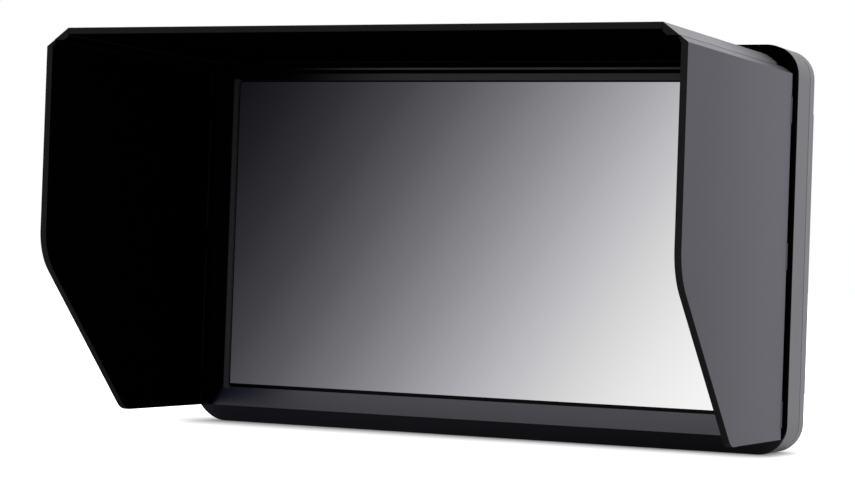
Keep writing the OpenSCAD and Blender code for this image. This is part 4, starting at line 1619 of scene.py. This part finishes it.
@dataclass
class Studio:
    """Camera, floor, world and lamps.

    Attributes:
        target: Point that the camera looks at.
        azimuth: Camera's angle to the right of the front, in degrees.
        elevation: Camera's angle above the level, in degrees.
        roll: Camera's turn about its own axis, in degrees.
        distance: From the target to the camera.
        focal: Focal length in pixels of the photograph.
        frame_w: Width of the photograph in pixels.
        sensor: Sensor width in millimetres.
        clip: Nearest and furthest distance that the camera sees.
        surround: Strength of the surroundings as a light.
        floor_w: Half the width of the floor.
        floor_z: Height of the floor, a hair under the monitor.
        lit: Point that the lamps are aimed at.
        lamps: The lamps.
        foot_w: Width of the monitor's foot on the floor.
        foot_d: Depth of the foot.
        foot_y: Middle of the foot along y.
        glow_near: Painted light that the floor adds for the camera at the foot.
        glow_rise: How much more it adds away from the foot.
        glow_reach: Distance over which that rises.
    """

    target: Point = (-16.254 * MM, -8.2 * MM, 53.964 * MM)
    azimuth: float = 24.547
    elevation: float = -0.717
    roll: float = 1.993
    distance: float = 699.466 * MM
    focal: float = 2509.971
    frame_w: float = 855.0
    sensor: float = 36.0
    clip: Span = (0.01, 50.0)
    surround: float = 0.6
    floor_w: float = 12.0
    floor_z: float = -0.02 * MM
    lit: Point = (0, 0, 54 * MM)
    lamps: tuple[Lamp, ...] = (
        Lamp("lamp_over", (0.3, 0.1, 1.4), 1.0, 10.0),
        Lamp("lamp_side", (1.4, -0.1, 0.5), 1.0, 6.0),
    )
    foot_w: float = 160 * MM
    foot_d: float = 20 * MM
    foot_y: float = 5 * MM
    glow_near: float = 0.1
    glow_rise: float = 0.9
    glow_reach: float = 24 * MM

    def camera(self) -> None:
        """Place the camera at the photograph's viewpoint."""
        azimuth, elevation, roll = (math.radians(a) for a in (self.azimuth, self.elevation, self.roll))
        flat = math.cos(elevation)
        back = Vector((math.sin(azimuth) * flat, -math.cos(azimuth) * flat, math.sin(elevation)))
        level = (-back).cross(Vector((0, 0, 1))).normalized()
        rise = level.cross(-back)
        right = level * math.cos(roll) + rise * math.sin(roll)
        up = rise * math.cos(roll) - level * math.sin(roll)
        data = bpy.data.cameras.new("camera")
        data.sensor_width = self.sensor
        data.lens = self.focal * self.sensor / self.frame_w
        data.clip_start, data.clip_end = self.clip
        camera = add("camera", data)
        turn = Matrix((right, up, back)).transposed().to_4x4()
        camera.matrix_world = Matrix.Translation(Vector(self.target) + back * self.distance) @ turn
        bpy.context.scene.camera = camera

    def world(self) -> None:
        """White surroundings for the camera and for reflections, softer as a light."""
        world = bpy.data.worlds.new("studio_world")
        tree = Tree(world)
        light, shown = (
            tree.node("ShaderNodeBackground", {}, {"Color": grey(255), "Strength": strength}).outputs[0]
            for strength in (self.surround, 1.0)
        )
        seen = tree.rays("Camera", "Glossy", "Transmission")
        mix = tree.node("ShaderNodeMixShader", {}, {0: seen, 1: light, 2: shown})
        tree.node("ShaderNodeOutputWorld", {}, {"Surface": mix.outputs[0]})
        bpy.context.scene.world = world

    def floor(self) -> None:
        """Pale floor that shows white away from the monitor's shadow, through painted light for the
        camera that grows away from the foot.
        """
        mesh = bmesh.new()
        bmesh.ops.create_grid(mesh, x_segments=1, y_segments=1, size=self.floor_w)
        data = bpy.data.meshes.new("floor")
        mesh.to_mesh(data)
        mesh.free()
        graph = Graph("floor_white")
        x, y, _ = graph.axes()
        # Painted light: the floor glows more for the camera the further it lies from the foot, so only
        # the shadow near the foot shows.
        aside = (abs(x) - self.foot_w / 2).math("MAXIMUM", 0.0)
        ahead = (abs(y - self.foot_y) - self.foot_d / 2).math("MAXIMUM", 0.0)
        away = (aside * aside + ahead * ahead).math("SQRT")
        slope = self.glow_rise / self.glow_reach
        glow = self.glow_near + away.math("MINIMUM", self.glow_reach) * slope
        material = graph.finish(
            Base_Color=grey(232),
            Roughness=0.9,
            Specular_IOR_Level=0.0,
            Emission_Color=graph.blend(graph.rays("Camera") * glow, grey(0), grey(255)),
            Emission_Strength=1.0,
        )
        data.materials.append(material)
        data.transform(Matrix.Translation((0, 0, self.floor_z)))
        floor = add("floor", data)

    def build(self) -> None:
        """Set up the camera, the surroundings, the floor and the lamps."""
        self.camera()
        self.world()
        self.floor()
        for lamp in self.lamps:
            lamp.build(self.lit)
        bpy.context.scene.view_settings.view_transform = "Standard"


def main() -> None:
    """Load the frame, then build the studio and each sub-assembly in order."""
    logging.basicConfig(level=logging.INFO, format="%(name)s: %(message)s")
    for leftover in list(bpy.data.objects):
        bpy.data.objects.remove(leftover)
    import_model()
    for part in (Studio(), Screen(), Housing(), Hood(), Electronics(), Keys(), BatteryMount()):
        part.build()


if __name__ == "__main__":
    main()
